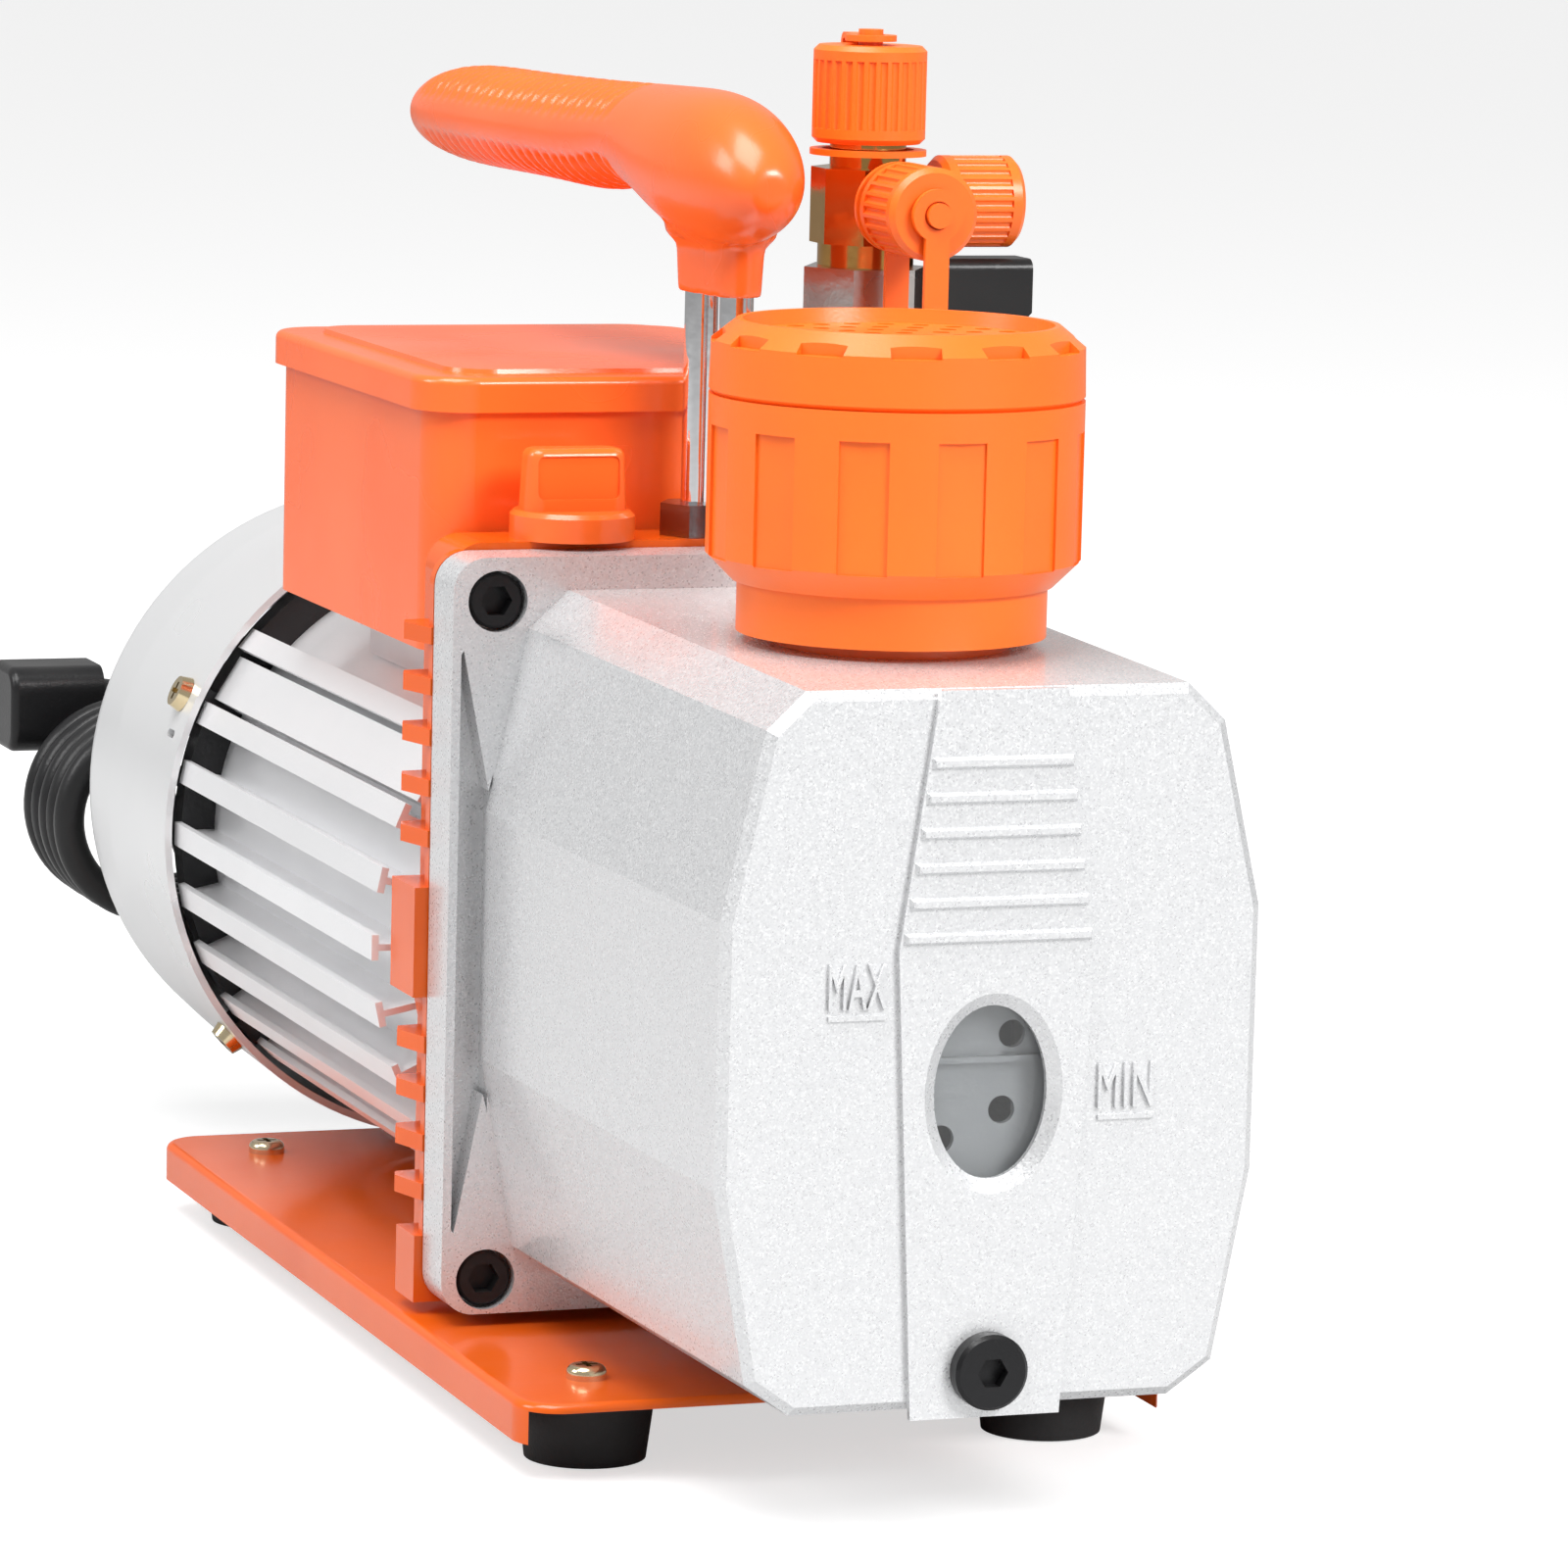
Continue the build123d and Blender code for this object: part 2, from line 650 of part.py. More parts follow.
with BuildPart() as pump_body:
    with BuildSketch(facing_front(body_front)):
        with Locations((0, (joint_low + body_top) / 2)):
            RectangleRounded(joint_w - 6.0, body_top - joint_low, joint_corner)
    extrude(amount=-body_t)
    with BuildSketch(facing_front(body_front)):
        with Locations((0, (joint_low + joint_high) / 2)):
            RectangleRounded(joint_w, joint_h, joint_corner)
    extrude(amount=-2.4)
    with BuildSketch(facing_front(ring_front)):
        with Locations((0, axis_z)):
            Circle(adapter_r)
        with Locations(*tie_spots):
            Circle(tie_lug_r)
    extrude(amount=-(motor_front - ring_front))
    for sx in (-1, 1):
        for level in rib_levels:
            with BuildSketch(Plane.XY.offset(level - 1.5)):
                with BuildLine():
                    Polyline(
                        (sx * (joint_w / 2 - 4.5), y_at(body_front)),
                        (sx * (joint_w / 2 + 0.3), y_at(body_front)),
                        (sx * (joint_w / 2 + 2.6), y_at(body_back - 6.0)),
                        (sx * (joint_w / 2 + 1.6), y_at(body_back - 3.0)),
                        (sx * (joint_w / 2 - 4.5), y_at(body_back - 2.0)),
                        close=True,
                    )
                make_face()
            extrude(amount=3.0)
        with BuildSketch(facing_front(body_front)):
            with Locations((sx * joint_w / 4, side_block_z)):
                Rectangle(joint_w / 2 + side_block_out, side_block_h)
        extrude(amount=-(body_t - 1.0))
        with BuildSketch(facing_front(body_front)):
            with Locations((sx * joint_w / 4, joint_low + 6.0)):
                Rectangle(joint_w / 2 + 3.0, 12.0)
        extrude(amount=-(body_t - 4.0))
    with BuildSketch(facing_front(body_front)):
        with Locations(*[(sx * 30.0, joint_low) for sx in (-1, 1)]):
            Rectangle(24.0, 2 * joint_lift)
    extrude(amount=-body_t)
    with BuildSketch(facing_front(motor_front)):
        with Locations((0, axis_z)):
            Circle(spigot_r)
    extrude(amount=-spigot_len)
    with BuildSketch(facing_front(body_back - 1.0)):
        with Locations((0, axis_z)):
            Circle(spigot_r - 4.0)
            Circle(hub_r, mode=Mode.SUBTRACT)
    extrude(amount=-20, mode=Mode.SUBTRACT)
    with BuildSketch(facing_front(motor_front)):
        with Locations((0, axis_z)):
            Circle(hub_r)
    extrude(amount=-9.0)
    with BuildSketch(facing_front(body_front)):
        with Locations((0, axis_z)):
            Circle(shaft_d / 2 + 0.6)
    extrude(amount=-40, mode=Mode.SUBTRACT)
    with BuildSketch(facing_front(body_front)):
        with Locations((0, axis_z)):
            Circle(seal_bore_r)
    extrude(amount=-seal_w, mode=Mode.SUBTRACT)
    with BuildSketch(facing_front(motor_front + 9.0 - bearing_w)):
        with Locations((0, axis_z)):
            Circle(bearing_r)
    extrude(amount=-20, mode=Mode.SUBTRACT)
    with BuildSketch(facing_front(body_front)):
        with Locations(*bolt_spots):
            Circle(bolt_d / 2)
    extrude(amount=-10.0, mode=Mode.SUBTRACT)
    with Locations((filler_x, y_at(filler_y), body_top)):
        Hole(radius=filler_thread_r, depth=filler_hole_depth)
    with BuildSketch(facing_front(body_front)):
        with Locations((filler_x, body_top - filler_hole_depth + filler_drain_r + 1.0)):
            Circle(filler_drain_r)
    extrude(amount=-(filler_y - body_front), mode=Mode.SUBTRACT)
    with Locations((inlet_x, y_at(inlet_y), body_top)):
        Hole(radius=valve_thread_r, depth=valve_thread_len)
        Hole(radius=gallery_r, depth=body_top - gallery[1] + gallery_r)
    with BuildSketch(facing_front(body_front)):
        with Locations(gallery):
            Circle(port_r)
    extrude(amount=-(inlet_y - body_front), mode=Mode.SUBTRACT)
    with BuildSketch(facing_front(body_front)):
        with Locations(*module_spots):
            Circle(module_screw_d / 2)
    extrude(amount=-module_screw_bite, mode=Mode.SUBTRACT)
    with BuildSketch(facing_front(motor_front)):
        with Locations(*tie_spots):
            Circle(tie_d / 2)
    extrude(amount=tie_bite, mode=Mode.SUBTRACT)
    with Locations((rear_post[0], y_at(rear_post[1]), body_top)):
        Hole(radius=post_thread_r, depth=post_thread_len)
    with Locations(*[(x, y, plate_top) for x, y in body_bolt_spots]):
        Cylinder(body_bolt_d / 2, body_bolt_len - plate_t, align=(Align.CENTER, Align.CENTER, Align.MIN),
                 mode=Mode.SUBTRACT)
save(pump_body, "pump_body")

# ---------------------------------------------------------------- pump module
bore_z = axis_z - pump_offset
rotor_out = pump_bore_r - pump_offset - rotor_gap
rotor_len = cylinder_len - 2 * rotor_side_gap
cylinder_front = body_front - cylinder_len
cylinder_mid = body_front - cylinder_len / 2
tang_y = 24.0
tang_len = 4.0
tang_t = 4.0
exhaust_x = -9.0

with BuildPart() as pump_cylinder:
    with BuildSketch(facing_front(body_front)):
        with Locations((0, axis_z)):
            RectangleRounded(2 * block_half, 2 * block_half, block_corner)
        with Locations((0, bore_z)):
            Circle(pump_bore_r, mode=Mode.SUBTRACT)
        with Locations(*module_spots):
            Circle(module_screw_d / 2 + 0.2, mode=Mode.SUBTRACT)
    extrude(amount=cylinder_len)
    with BuildSketch(facing_front(body_front)):
        with Locations(gallery):
            Circle(gallery_r)
    extrude(amount=cylinder_len / 2 + gallery_r, mode=Mode.SUBTRACT)
    with BuildSketch(Plane.YZ.offset(gallery_side)):
        with Locations((y_at(cylinder_mid), gallery[1])):
            Circle(port_r)
    extrude(amount=-(gallery_side - pump_bore_r + 5.0), mode=Mode.SUBTRACT)
    with BuildSketch(Plane.XY.offset(axis_z + block_half)):
        with Locations((exhaust_x, y_at(cylinder_mid))):
            Circle(gallery_r)
    extrude(amount=-(block_half - pump_bore_r + pump_offset + 6.0), mode=Mode.SUBTRACT)
save(pump_cylinder, "pump_cylinder")

with BuildPart() as pump_end_plate:
    with BuildSketch(facing_front(cylinder_front)):
        with Locations((0, axis_z)):
            RectangleRounded(2 * block_half, 2 * block_half, block_corner)
            Circle(shaft_d / 2 + fit_gap, mode=Mode.SUBTRACT)
        with Locations(*module_spots):
            Circle(module_screw_d / 2 + 0.2, mode=Mode.SUBTRACT)
    extrude(amount=end_plate_t)
save(pump_end_plate, "pump_end_plate")

with BuildPart() as pump_screws:
    with BuildSketch(facing_front(cylinder_front - end_plate_t)):
        with Locations(*module_spots):
            Circle(module_screw_d * 0.85)
    extrude(amount=module_screw_d)
    with BuildSketch(facing_front(cylinder_front - end_plate_t)):
        with Locations(*module_spots):
            Circle(module_screw_d / 2)
    extrude(amount=-(end_plate_t + cylinder_len + module_screw_bite))
    with BuildSketch(facing_front(cylinder_front - end_plate_t - module_screw_d)):
        with Locations(*module_spots):
            RegularPolygon(module_screw_d * 0.45, 6)
    extrude(amount=-module_screw_d / 2, mode=Mode.SUBTRACT)
save(pump_screws, "pump_screws")

with BuildPart() as pump_rotor:
    with BuildSketch(facing_front(body_front - rotor_side_gap)):
        with Locations((0, axis_z)):
            Circle(rotor_out)
    extrude(amount=rotor_len)
    with BuildSketch(facing_front(body_front - rotor_side_gap)):
        with Locations((0, axis_z)):
            Rectangle(vane_t, 2 * rotor_out + 2)
    extrude(amount=rotor_len, mode=Mode.SUBTRACT)
    with BuildSketch(facing_front(tang_y)):
        with Locations((0, axis_z)):
            Circle(shaft_d / 2)
    extrude(amount=tang_y - body_front + rotor_side_gap)
    with BuildSketch(facing_front(body_front - rotor_side_gap - rotor_len)):
        with Locations((0, axis_z)):
            Circle(shaft_d / 2)
    extrude(amount=end_plate_t - 1.0)
    with BuildSketch(facing_front(tang_y)):
        with Locations((0, axis_z)):
            Rectangle(shaft_d - 4.0, tang_t)
    extrude(amount=-tang_len)
save(pump_rotor, "pump_rotor")

vane_out = rotor_out - vane_set_in
vane_in = 4.0
with BuildPart() as vanes:
    with BuildSketch(facing_front(body_front - rotor_side_gap)):
        with Locations(*[(0, axis_z + sz * (vane_out + vane_in) / 2) for sz in (-1, 1)]):
            Rectangle(vane_t, vane_out - vane_in)
    extrude(amount=rotor_len)
save(vanes, "vanes")

spring_steps = (-14.0, 0.0, 14.0)
with BuildPart() as vane_springs:
    for step in spring_steps:
        with BuildLine():
            coil = Helix(pitch=1.6, height=2 * vane_in - 1.0, radius=1.3,
                         center=(0, y_at(cylinder_mid) + step, axis_z - vane_in + 0.5))
        with BuildSketch(Plane(origin=coil @ 0, z_dir=coil % 0)):
            Circle(0.35)
        sweep(path=coil, is_frenet=True)
save(vane_springs, "vane_springs")

flap_w = 12.0
flap_t = 0.8
with BuildPart() as exhaust_flap:
    with BuildSketch(Plane.XY.offset(axis_z + block_half)):
        with Locations((exhaust_x + 6.0, y_at(cylinder_mid))):
            RectangleRounded(30.0, flap_w, 3.0)
    extrude(amount=flap_t)
    with BuildSketch(Plane.XY.offset(axis_z + block_half + flap_t)):
        with Locations((exhaust_x + 15.0, y_at(cylinder_mid))):
            RectangleRounded(11.0, flap_w, 3.0)
    extrude(amount=2.0)
    with Locations((exhaust_x + 15.0, y_at(cylinder_mid), axis_z + block_half + flap_t + 2.0)):
        Cylinder(3.6, 2.4, align=(Align.CENTER, Align.CENTER, Align.MIN))
save(exhaust_flap, "exhaust_flap")

shaft_seal = on_shaft([
    (body_front, shaft_d / 2 + fit_gap), (body_front + seal_w, shaft_d / 2 + fit_gap),
    (body_front + seal_w, seal_bore_r), (body_front, seal_bore_r),
])
save(shaft_seal, "shaft_seal")

# ---------------------------------------------------------------- motor
rear_bearing_y = motor_rear - bearing_w - 1.0
shaft_end = fan_start + fan_len + 4.0
bearing_fit_r = shaft_d / 2 + fit_gap

with BuildPart() as ball_bearings:
    for start in (motor_front, rear_bearing_y):
        with BuildSketch(facing_front(start)):
            with Locations((0, axis_z)):
                Circle(bearing_r)
                Circle(bearing_fit_r, mode=Mode.SUBTRACT)
        extrude(amount=-bearing_w)
        for face_y, inward in ((start, -1), (start + bearing_w, 1)):
            with BuildSketch(facing_front(face_y)):
                with Locations((0, axis_z)):
                    Circle(bearing_r - 2.2)
                    Circle(bearing_fit_r + 2.0, mode=Mode.SUBTRACT)
            extrude(amount=inward * 0.7, mode=Mode.SUBTRACT)
save(ball_bearings, "ball_bearings")

with BuildPart() as motor_shaft:
    with BuildSketch(facing_front(tang_y)):
        with Locations((0, axis_z)):
            Circle(shaft_d / 2)
    extrude(amount=-(motor_rear + 8.0 - tang_y))
    with BuildSketch(facing_front(motor_rear + 8.0)):
        with Locations((0, axis_z)):
            Circle(shaft_d / 2 - 1.0)
    extrude(amount=-(shaft_end - motor_rear - 8.0))
    chamfer(motor_shaft.faces().sort_by(Axis.Y)[-1].edges(), length=0.8)
    with BuildSketch(facing_front(tang_y)):
        with Locations((0, axis_z)):
            Rectangle(shaft_d + 2, tang_t)
    extrude(amount=-tang_len, mode=Mode.SUBTRACT)
save(motor_shaft, "motor_shaft")

motor_rotor = on_shaft([
    (stator_start - 4.0, shaft_d / 2), (stator_start - 4.0, rotor_r - 4.0), (stator_start, rotor_r - 4.0),
    (stator_start, rotor_r), (stator_start + stator_len, rotor_r), (stator_start + stator_len, rotor_r - 4.0),
    (stator_start + stator_len + 4.0, rotor_r - 4.0), (stator_start + stator_len + 4.0, shaft_d / 2),
])
save(motor_rotor, "motor_rotor")

stator_core = on_shaft([
    (stator_start, rotor_r + air_gap), (stator_start + stator_len, rotor_r + air_gap),
    (stator_start + stator_len, drum_r - drum_wall), (stator_start, drum_r - drum_wall),
])
save(stator_core, "stator_core")

winding_out = drum_r - drum_wall - 5.0
winding_in = rotor_r + 3.0
winding_round = min(5.0, 0.4 * (winding_out - winding_in))
with BuildPart() as windings:
    for start, grow in ((stator_start, 1), (stator_start + stator_len, -1)):
        with BuildSketch(facing_front(start)):
            with Locations((0, axis_z)):
                Circle(winding_out)
                Circle(winding_in, mode=Mode.SUBTRACT)
        extrude(amount=grow * winding_h)
        fillet(windings.faces().sort_by(Axis.Y)[0 if grow > 0 else -1].edges(), radius=winding_round)
save(windings, "windings")


def fin_place(radius, angle):
    x, z = round_shaft(radius, angle)
    return Location((x, z, 0), (0, 0, angle))


all_fins = list(fin_angles) + [180 - a for a in fin_angles]
all_fins += [-a for a in low_fin_angles] + [180 + a for a in low_fin_angles]
fin_front = motor_front + 1.0
with BuildPart() as motor_housing:
    with BuildSketch(facing_front(motor_front)):
        with Locations((0, axis_z)):
            Circle(drum_r)
    extrude(amount=-(motor_rear - motor_front))
    with BuildSketch(facing_front(fin_front)):
        with Locations(*[fin_place((drum_r + fin_r) / 2 - 0.5, a) for a in all_fins]):
            Rectangle(fin_r - drum_r + 0.8, fin_stem_t)
        with Locations(*[fin_place(fin_r - fin_cap_t / 2, a) for a in all_fins]):
            Rectangle(fin_cap_t, fin_cap_w)
    extrude(amount=-(motor_rear - fin_front))
    with BuildSketch(facing_front(motor_front)):
        with Locations(*[fin_place((drum_r + rail_r) / 2 - 0.5, a) for a in tie_angles]):
            Rectangle(rail_r - drum_r + 1.0, rail_w)
    extrude(amount=-(motor_rear - motor_front))
    with Locations((-10.0, y_at((tbox_front + tbox_rear) / 2 + 2.0), tbox_floor)):
        Box(2 * seat_half, seat_len, 12.0, align=(Align.CENTER, Align.CENTER, Align.MAX))
    with Locations((0, y_at(140.0), plate_top)):
        Box(26.0, 30.0, 16.0, align=(Align.CENTER, Align.CENTER, Align.MIN))
    with BuildSketch(facing_front(motor_front)):
        with Locations((0, axis_z)):
            Circle(drum_r - drum_wall)
    extrude(amount=-(motor_rear - motor_front), mode=Mode.SUBTRACT)
    with BuildSketch(facing_front(motor_front)):
        with Locations(*tie_spots):
            Circle(tie_d / 2 + 0.2)
    extrude(amount=-(motor_rear - motor_front), mode=Mode.SUBTRACT)
save(motor_housing, "motor_housing")

shield_r = 58.6
cover_screw_angle = 25.0
cover_screw_low_angle = 42.0
cover_screw_angles = (
    cover_screw_angle, 180 - cover_screw_angle, 180 + cover_screw_low_angle, -cover_screw_low_angle,
)
cover_in = cover_r - cover_t
lug_t = cover_in - shield_r + 0.6
with BuildPart() as rear_shield:
    with BuildSketch(facing_front(motor_rear)):
        with Locations((0, axis_z)):
            Circle(shield_r)
    extrude(amount=-shield_t)
    with BuildSketch(facing_front(motor_rear)):
        with Locations(*[fin_place(cover_in - 0.6 - lug_t / 2, a) for a in cover_screw_angles]):
            Rectangle(lug_t, 6.0)
    extrude(amount=-(cover_screw_y + 3.0 - motor_rear))
    with BuildSketch(facing_front(motor_rear)):
        with Locations((0, axis_z)):
            Circle(drum_r - drum_wall)
            Circle(drum_r - drum_wall - 4.0, mode=Mode.SUBTRACT)
            Circle(bearing_r + 5.0)
    extrude(amount=bearing_w + 1.0)
    with BuildSketch(facing_front(rear_bearing_y)):
        with Locations((0, axis_z)):
            Circle(bearing_r)
    extrude(amount=-bearing_w, mode=Mode.SUBTRACT)
    with BuildSketch(facing_front(rear_bearing_y)):
        with Locations((0, axis_z)):
            Circle(shaft_d / 2 + 0.8)
    extrude(amount=-40.0, mode=Mode.SUBTRACT)
    with BuildSketch(facing_front(motor_rear)):
        with Locations(*tie_spots):
            Circle(tie_d / 2 + 0.2)
    extrude(amount=-20.0, mode=Mode.SUBTRACT)
    for angle in cover_screw_angles:
        with BuildSketch(Plane(
            origin=(round_shaft(cover_r, angle)[0], y_at(cover_screw_y), round_shaft(cover_r, angle)[1]),
            x_dir=(0, 1, 0),
            z_dir=(math.cos(math.radians(angle)), 0, math.sin(math.radians(angle))),
        )):
            Circle(1.6)
        extrude(amount=-5.0, mode=Mode.SUBTRACT)
save(rear_shield, "rear_shield")

with BuildPart() as tie_bolts:
    with BuildSketch(facing_front(motor_rear + shield_t)):
        with Locations(*tie_spots):
            RegularPolygon(tie_d * 0.9, 6)
    extrude(amount=-tie_d * 0.7)
    with BuildSketch(facing_front(motor_rear + shield_t)):
        with Locations(*tie_spots):
            Circle(tie_d / 2)
    extrude(amount=motor_rear + shield_t - motor_front + tie_bite)
save(tie_bolts, "tie_bolts")

with BuildPart() as fan:
    with BuildSketch(facing_front(fan_start)):
        with Locations((0, axis_z)):
            Circle(fan_r - 4.0)
    extrude(amount=-2.0)
    with BuildSketch(facing_front(fan_start)):
        with Locations((0, axis_z)):
            Circle(13.0)
    extrude(amount=-fan_len)
    with BuildSketch(facing_front(fan_start + 1.0)):
        with Locations((0, axis_z)):
            with PolarLocations(fan_r / 2 + 4.0, fan_blades):
                Rectangle(fan_r - 8.0, 2.2)
    extrude(amount=-(fan_len - 1.0))
    with BuildSketch(facing_front(fan_start)):
        with Locations((0, axis_z)):
            Circle(shaft_d / 2 - 1.0)
    extrude(amount=-fan_len, mode=Mode.SUBTRACT)
save(fan, "fan")

with BuildPart() as fan_cover:
    with BuildSketch(shaft_plane()):
        with BuildLine():
            Polyline(
                (cover_front, cover_in), (cover_front, cover_r), (cover_rear - 30.0, cover_r - 1.0),
                (cover_rear, cover_back_r), (cover_rear, 0), (cover_rear - cover_t, 0),
                (cover_rear - cover_t, cover_back_r - cover_t), (cover_rear - 30.0, cover_in - 1.0), close=True,
            )
        make_face()
    revolve(axis=shaft_axis())
    round_rims = fan_cover.edges().filter_by(GeomType.CIRCLE).filter_by(
        lambda e: e.center().Y > y_at(cover_rear - cover_t) - 0.1
    )
    fillet(round_rims.sort_by(Axis.Y)[-1:], radius=cover_round)
    fillet(
        fan_cover.edges().filter_by(GeomType.CIRCLE).filter_by(
            lambda e: abs(e.center().Y - y_at(cover_rear - cover_t)) < 0.1
        ),
        radius=cover_round - cover_t,
    )
    for ring in range(grille_rings):
        with BuildSketch(facing_front(cover_rear + 1.0)):
            with Locations((0, axis_z)):
                Circle(15.0 + ring * 7.0 + 4.2)
                Circle(15.0 + ring * 7.0, mode=Mode.SUBTRACT)
                Rectangle(200, 4.0, mode=Mode.SUBTRACT)
                Rectangle(4.0, 200, mode=Mode.SUBTRACT)
                Rectangle(200, 4.0, rotation=45, mode=Mode.SUBTRACT)
                Rectangle(200, 4.0, rotation=-45, mode=Mode.SUBTRACT)
        extrude(amount=4.0, mode=Mode.SUBTRACT)
    for angle in cover_screw_angles:
        with BuildSketch(Plane(
            origin=(round_shaft(cover_r + 2.0, angle)[0], y_at(cover_screw_y), round_shaft(cover_r + 2.0, angle)[1]),
            x_dir=(0, 1, 0),
            z_dir=(math.cos(math.radians(angle)), 0, math.sin(math.radians(angle))),
        )):
            Circle(1.8)
            with Locations((-0.5, 8.0)):
                SlotOverall(5.0, 1.6)
        extrude(amount=-6.0, mode=Mode.SUBTRACT)
save(fan_cover, "fan_cover")

with BuildPart() as cover_screws:
    for angle in cover_screw_angles:
        seat = round_shaft(cover_r - 0.1, angle)
        out = (math.cos(math.radians(angle)), 0, math.sin(math.radians(angle)))
        with BuildSketch(Plane(origin=(seat[0], y_at(cover_screw_y), seat[1]), x_dir=(0, 1, 0), z_dir=out)):
            Circle(cover_screw_head_r)
        extrude(amount=cover_screw_head_h, taper=14)
        with BuildSketch(Plane(origin=(seat[0], y_at(cover_screw_y), seat[1]), x_dir=(0, 1, 0), z_dir=out)):
            Circle(1.6)
        extrude(amount=-4.4)
        with Locations(Plane(
            origin=(seat[0] + out[0] * cover_screw_head_h, y_at(cover_screw_y), seat[1] + out[2] * cover_screw_head_h),
            x_dir=(0, 1, 0), z_dir=out,
        )):
            cross_slot(3.6, 1.3)
save(cover_screws, "cover_screws")

# ---------------------------------------------------------------- terminal box
tbox_mid_x = (tbox_left + tbox_right) / 2
tbox_mid_y = y_at((tbox_front + tbox_rear) / 2)
tbox_w = tbox_right - tbox_left
tbox_len = tbox_rear - tbox_front
wall_mid_y = tbox_rear - tbox_wall
with BuildPart() as terminal_box:
    with BuildSketch(Plane.XY.offset(tbox_floor)):
        with Locations((tbox_mid_x, tbox_mid_y)):
            RectangleRounded(tbox_w, tbox_len, tbox_corner)
    extrude(amount=tbox_rim - tbox_floor)
    with BuildSketch(Plane.XY.offset(tbox_floor + tbox_wall)):
        with Locations((tbox_mid_x, tbox_mid_y)):
            RectangleRounded(tbox_w - 2 * tbox_wall, tbox_len - 2 * tbox_wall, tbox_corner - tbox_wall)
    extrude(amount=60.0, mode=Mode.SUBTRACT)
    with BuildSketch(facing_front(tbox_rear + 1.0)):
        with Locations((switch_x, switch_z)):
            Rectangle(switch_w - 2 * switch_wall, switch_h - 2 * switch_wall)
        with Locations((gland_x, gland_z)):
            Circle(cord_d / 2 + 2.0)
    extrude(amount=tbox_wall + 3.0, mode=Mode.SUBTRACT)
    with Locations((-10.0, tbox_mid_y, tbox_floor)):
        Cylinder(9.0, tbox_wall + 1.0, align=(Align.CENTER, Align.CENTER, Align.MIN), mode=Mode.SUBTRACT)
save(terminal_box, "terminal_box")

lid_low = tbox_rim
with BuildPart() as terminal_lid:
    with BuildSketch(Plane.XY.offset(lid_low)):
        with Locations((tbox_mid_x, tbox_mid_y)):
            RectangleRounded(tbox_w + 2 * lid_over, tbox_len + 2 * lid_over, tbox_corner + lid_over)
    extrude(amount=lid_top - lid_low)
    fillet(terminal_lid.faces().sort_by(Axis.Z)[-1].edges(), radius=1.4)
    with BuildSketch(Plane.XY.offset(lid_low)):
        with Locations((tbox_mid_x, tbox_mid_y)):
            RectangleRounded(tbox_w - 2 * tbox_wall, tbox_len - 2 * tbox_wall, tbox_corner - tbox_wall)
    extrude(amount=lid_top - lid_low - lid_t, mode=Mode.SUBTRACT)
    with BuildSketch(Plane.XY.offset(lid_top)):
        with Locations((tbox_mid_x, tbox_mid_y)):
            RectangleRounded(tbox_w - lid_panel_inset, tbox_len - lid_panel_inset, tbox_corner)
    extrude(amount=lid_panel_rise, taper=20)
save(terminal_lid, "terminal_lid")

capacitor_x = tbox_left + tbox_wall + capacitor_r + 2.0
capacitor_z = tbox_floor + tbox_wall + capacitor_r
with BuildPart() as capacitor:
    with BuildSketch(facing_front(tbox_front + 12.0)):
        with Locations((capacitor_x, capacitor_z)):
            Circle(capacitor_r)
    extrude(amount=-capacitor_len)
    fillet(capacitor.edges().filter_by(GeomType.CIRCLE), radius=1.5)
    with BuildSketch(facing_front(tbox_front + 12.0 + capacitor_len)):
        with Locations((capacitor_x - 5.0, capacitor_z), (capacitor_x + 5.0, capacitor_z)):
            Rectangle(0.8, 6.3)
    extrude(amount=-8.0)
save(capacitor, "capacitor")

with BuildPart() as terminal_block:
    with Locations((14.0, tbox_mid_y, tbox_floor + tbox_wall)):
        Box(16.0, 44.0, 15.0, align=(Align.CENTER, Align.CENTER, Align.MIN))
    with Locations((14.0, tbox_mid_y, tbox_floor + tbox_wall + 15.0)):
        with GridLocations(8.0, 10.0, 2, 4):
            Cylinder(2.4, 6.0, align=(Align.CENTER, Align.CENTER, Align.MAX), mode=Mode.SUBTRACT)
save(terminal_block, "terminal_block")

switch_depth = 13.0
switch_bezel = 1.6
rocker_pivot_y = tbox_rear - 2.0
rocker_plane = Plane(origin=(switch_x, y_at(rocker_pivot_y), switch_z), x_dir=(0, 1, 0), z_dir=(1, 0, 0))
with BuildPart() as switch_frame:
    with BuildSketch(facing_front(tbox_rear)):
        with Locations((switch_x, switch_z)):
            RectangleRounded(switch_w + 2.0, switch_h + 2.0, 2.0)
    extrude(amount=-switch_bezel)
    with BuildSketch(facing_front(tbox_rear)):
        with Locations((switch_x, switch_z)):
            Rectangle(switch_w - 2 * switch_wall, switch_h - 2 * switch_wall)
    extrude(amount=switch_depth)
    with BuildSketch(facing_front(tbox_rear + switch_bezel)):
        with Locations((switch_x, switch_z)):
            Rectangle(switch_w - 4 * switch_wall, switch_h - 4 * switch_wall)
    extrude(amount=switch_depth, mode=Mode.SUBTRACT)
    with BuildSketch(rocker_plane):
        Circle(rocker_pin_r + fit_gap)
    extrude(amount=switch_w / 2 - 2 * switch_wall + rocker_pin_bite + 0.1, both=True, mode=Mode.SUBTRACT)
save(switch_frame, "switch_frame")

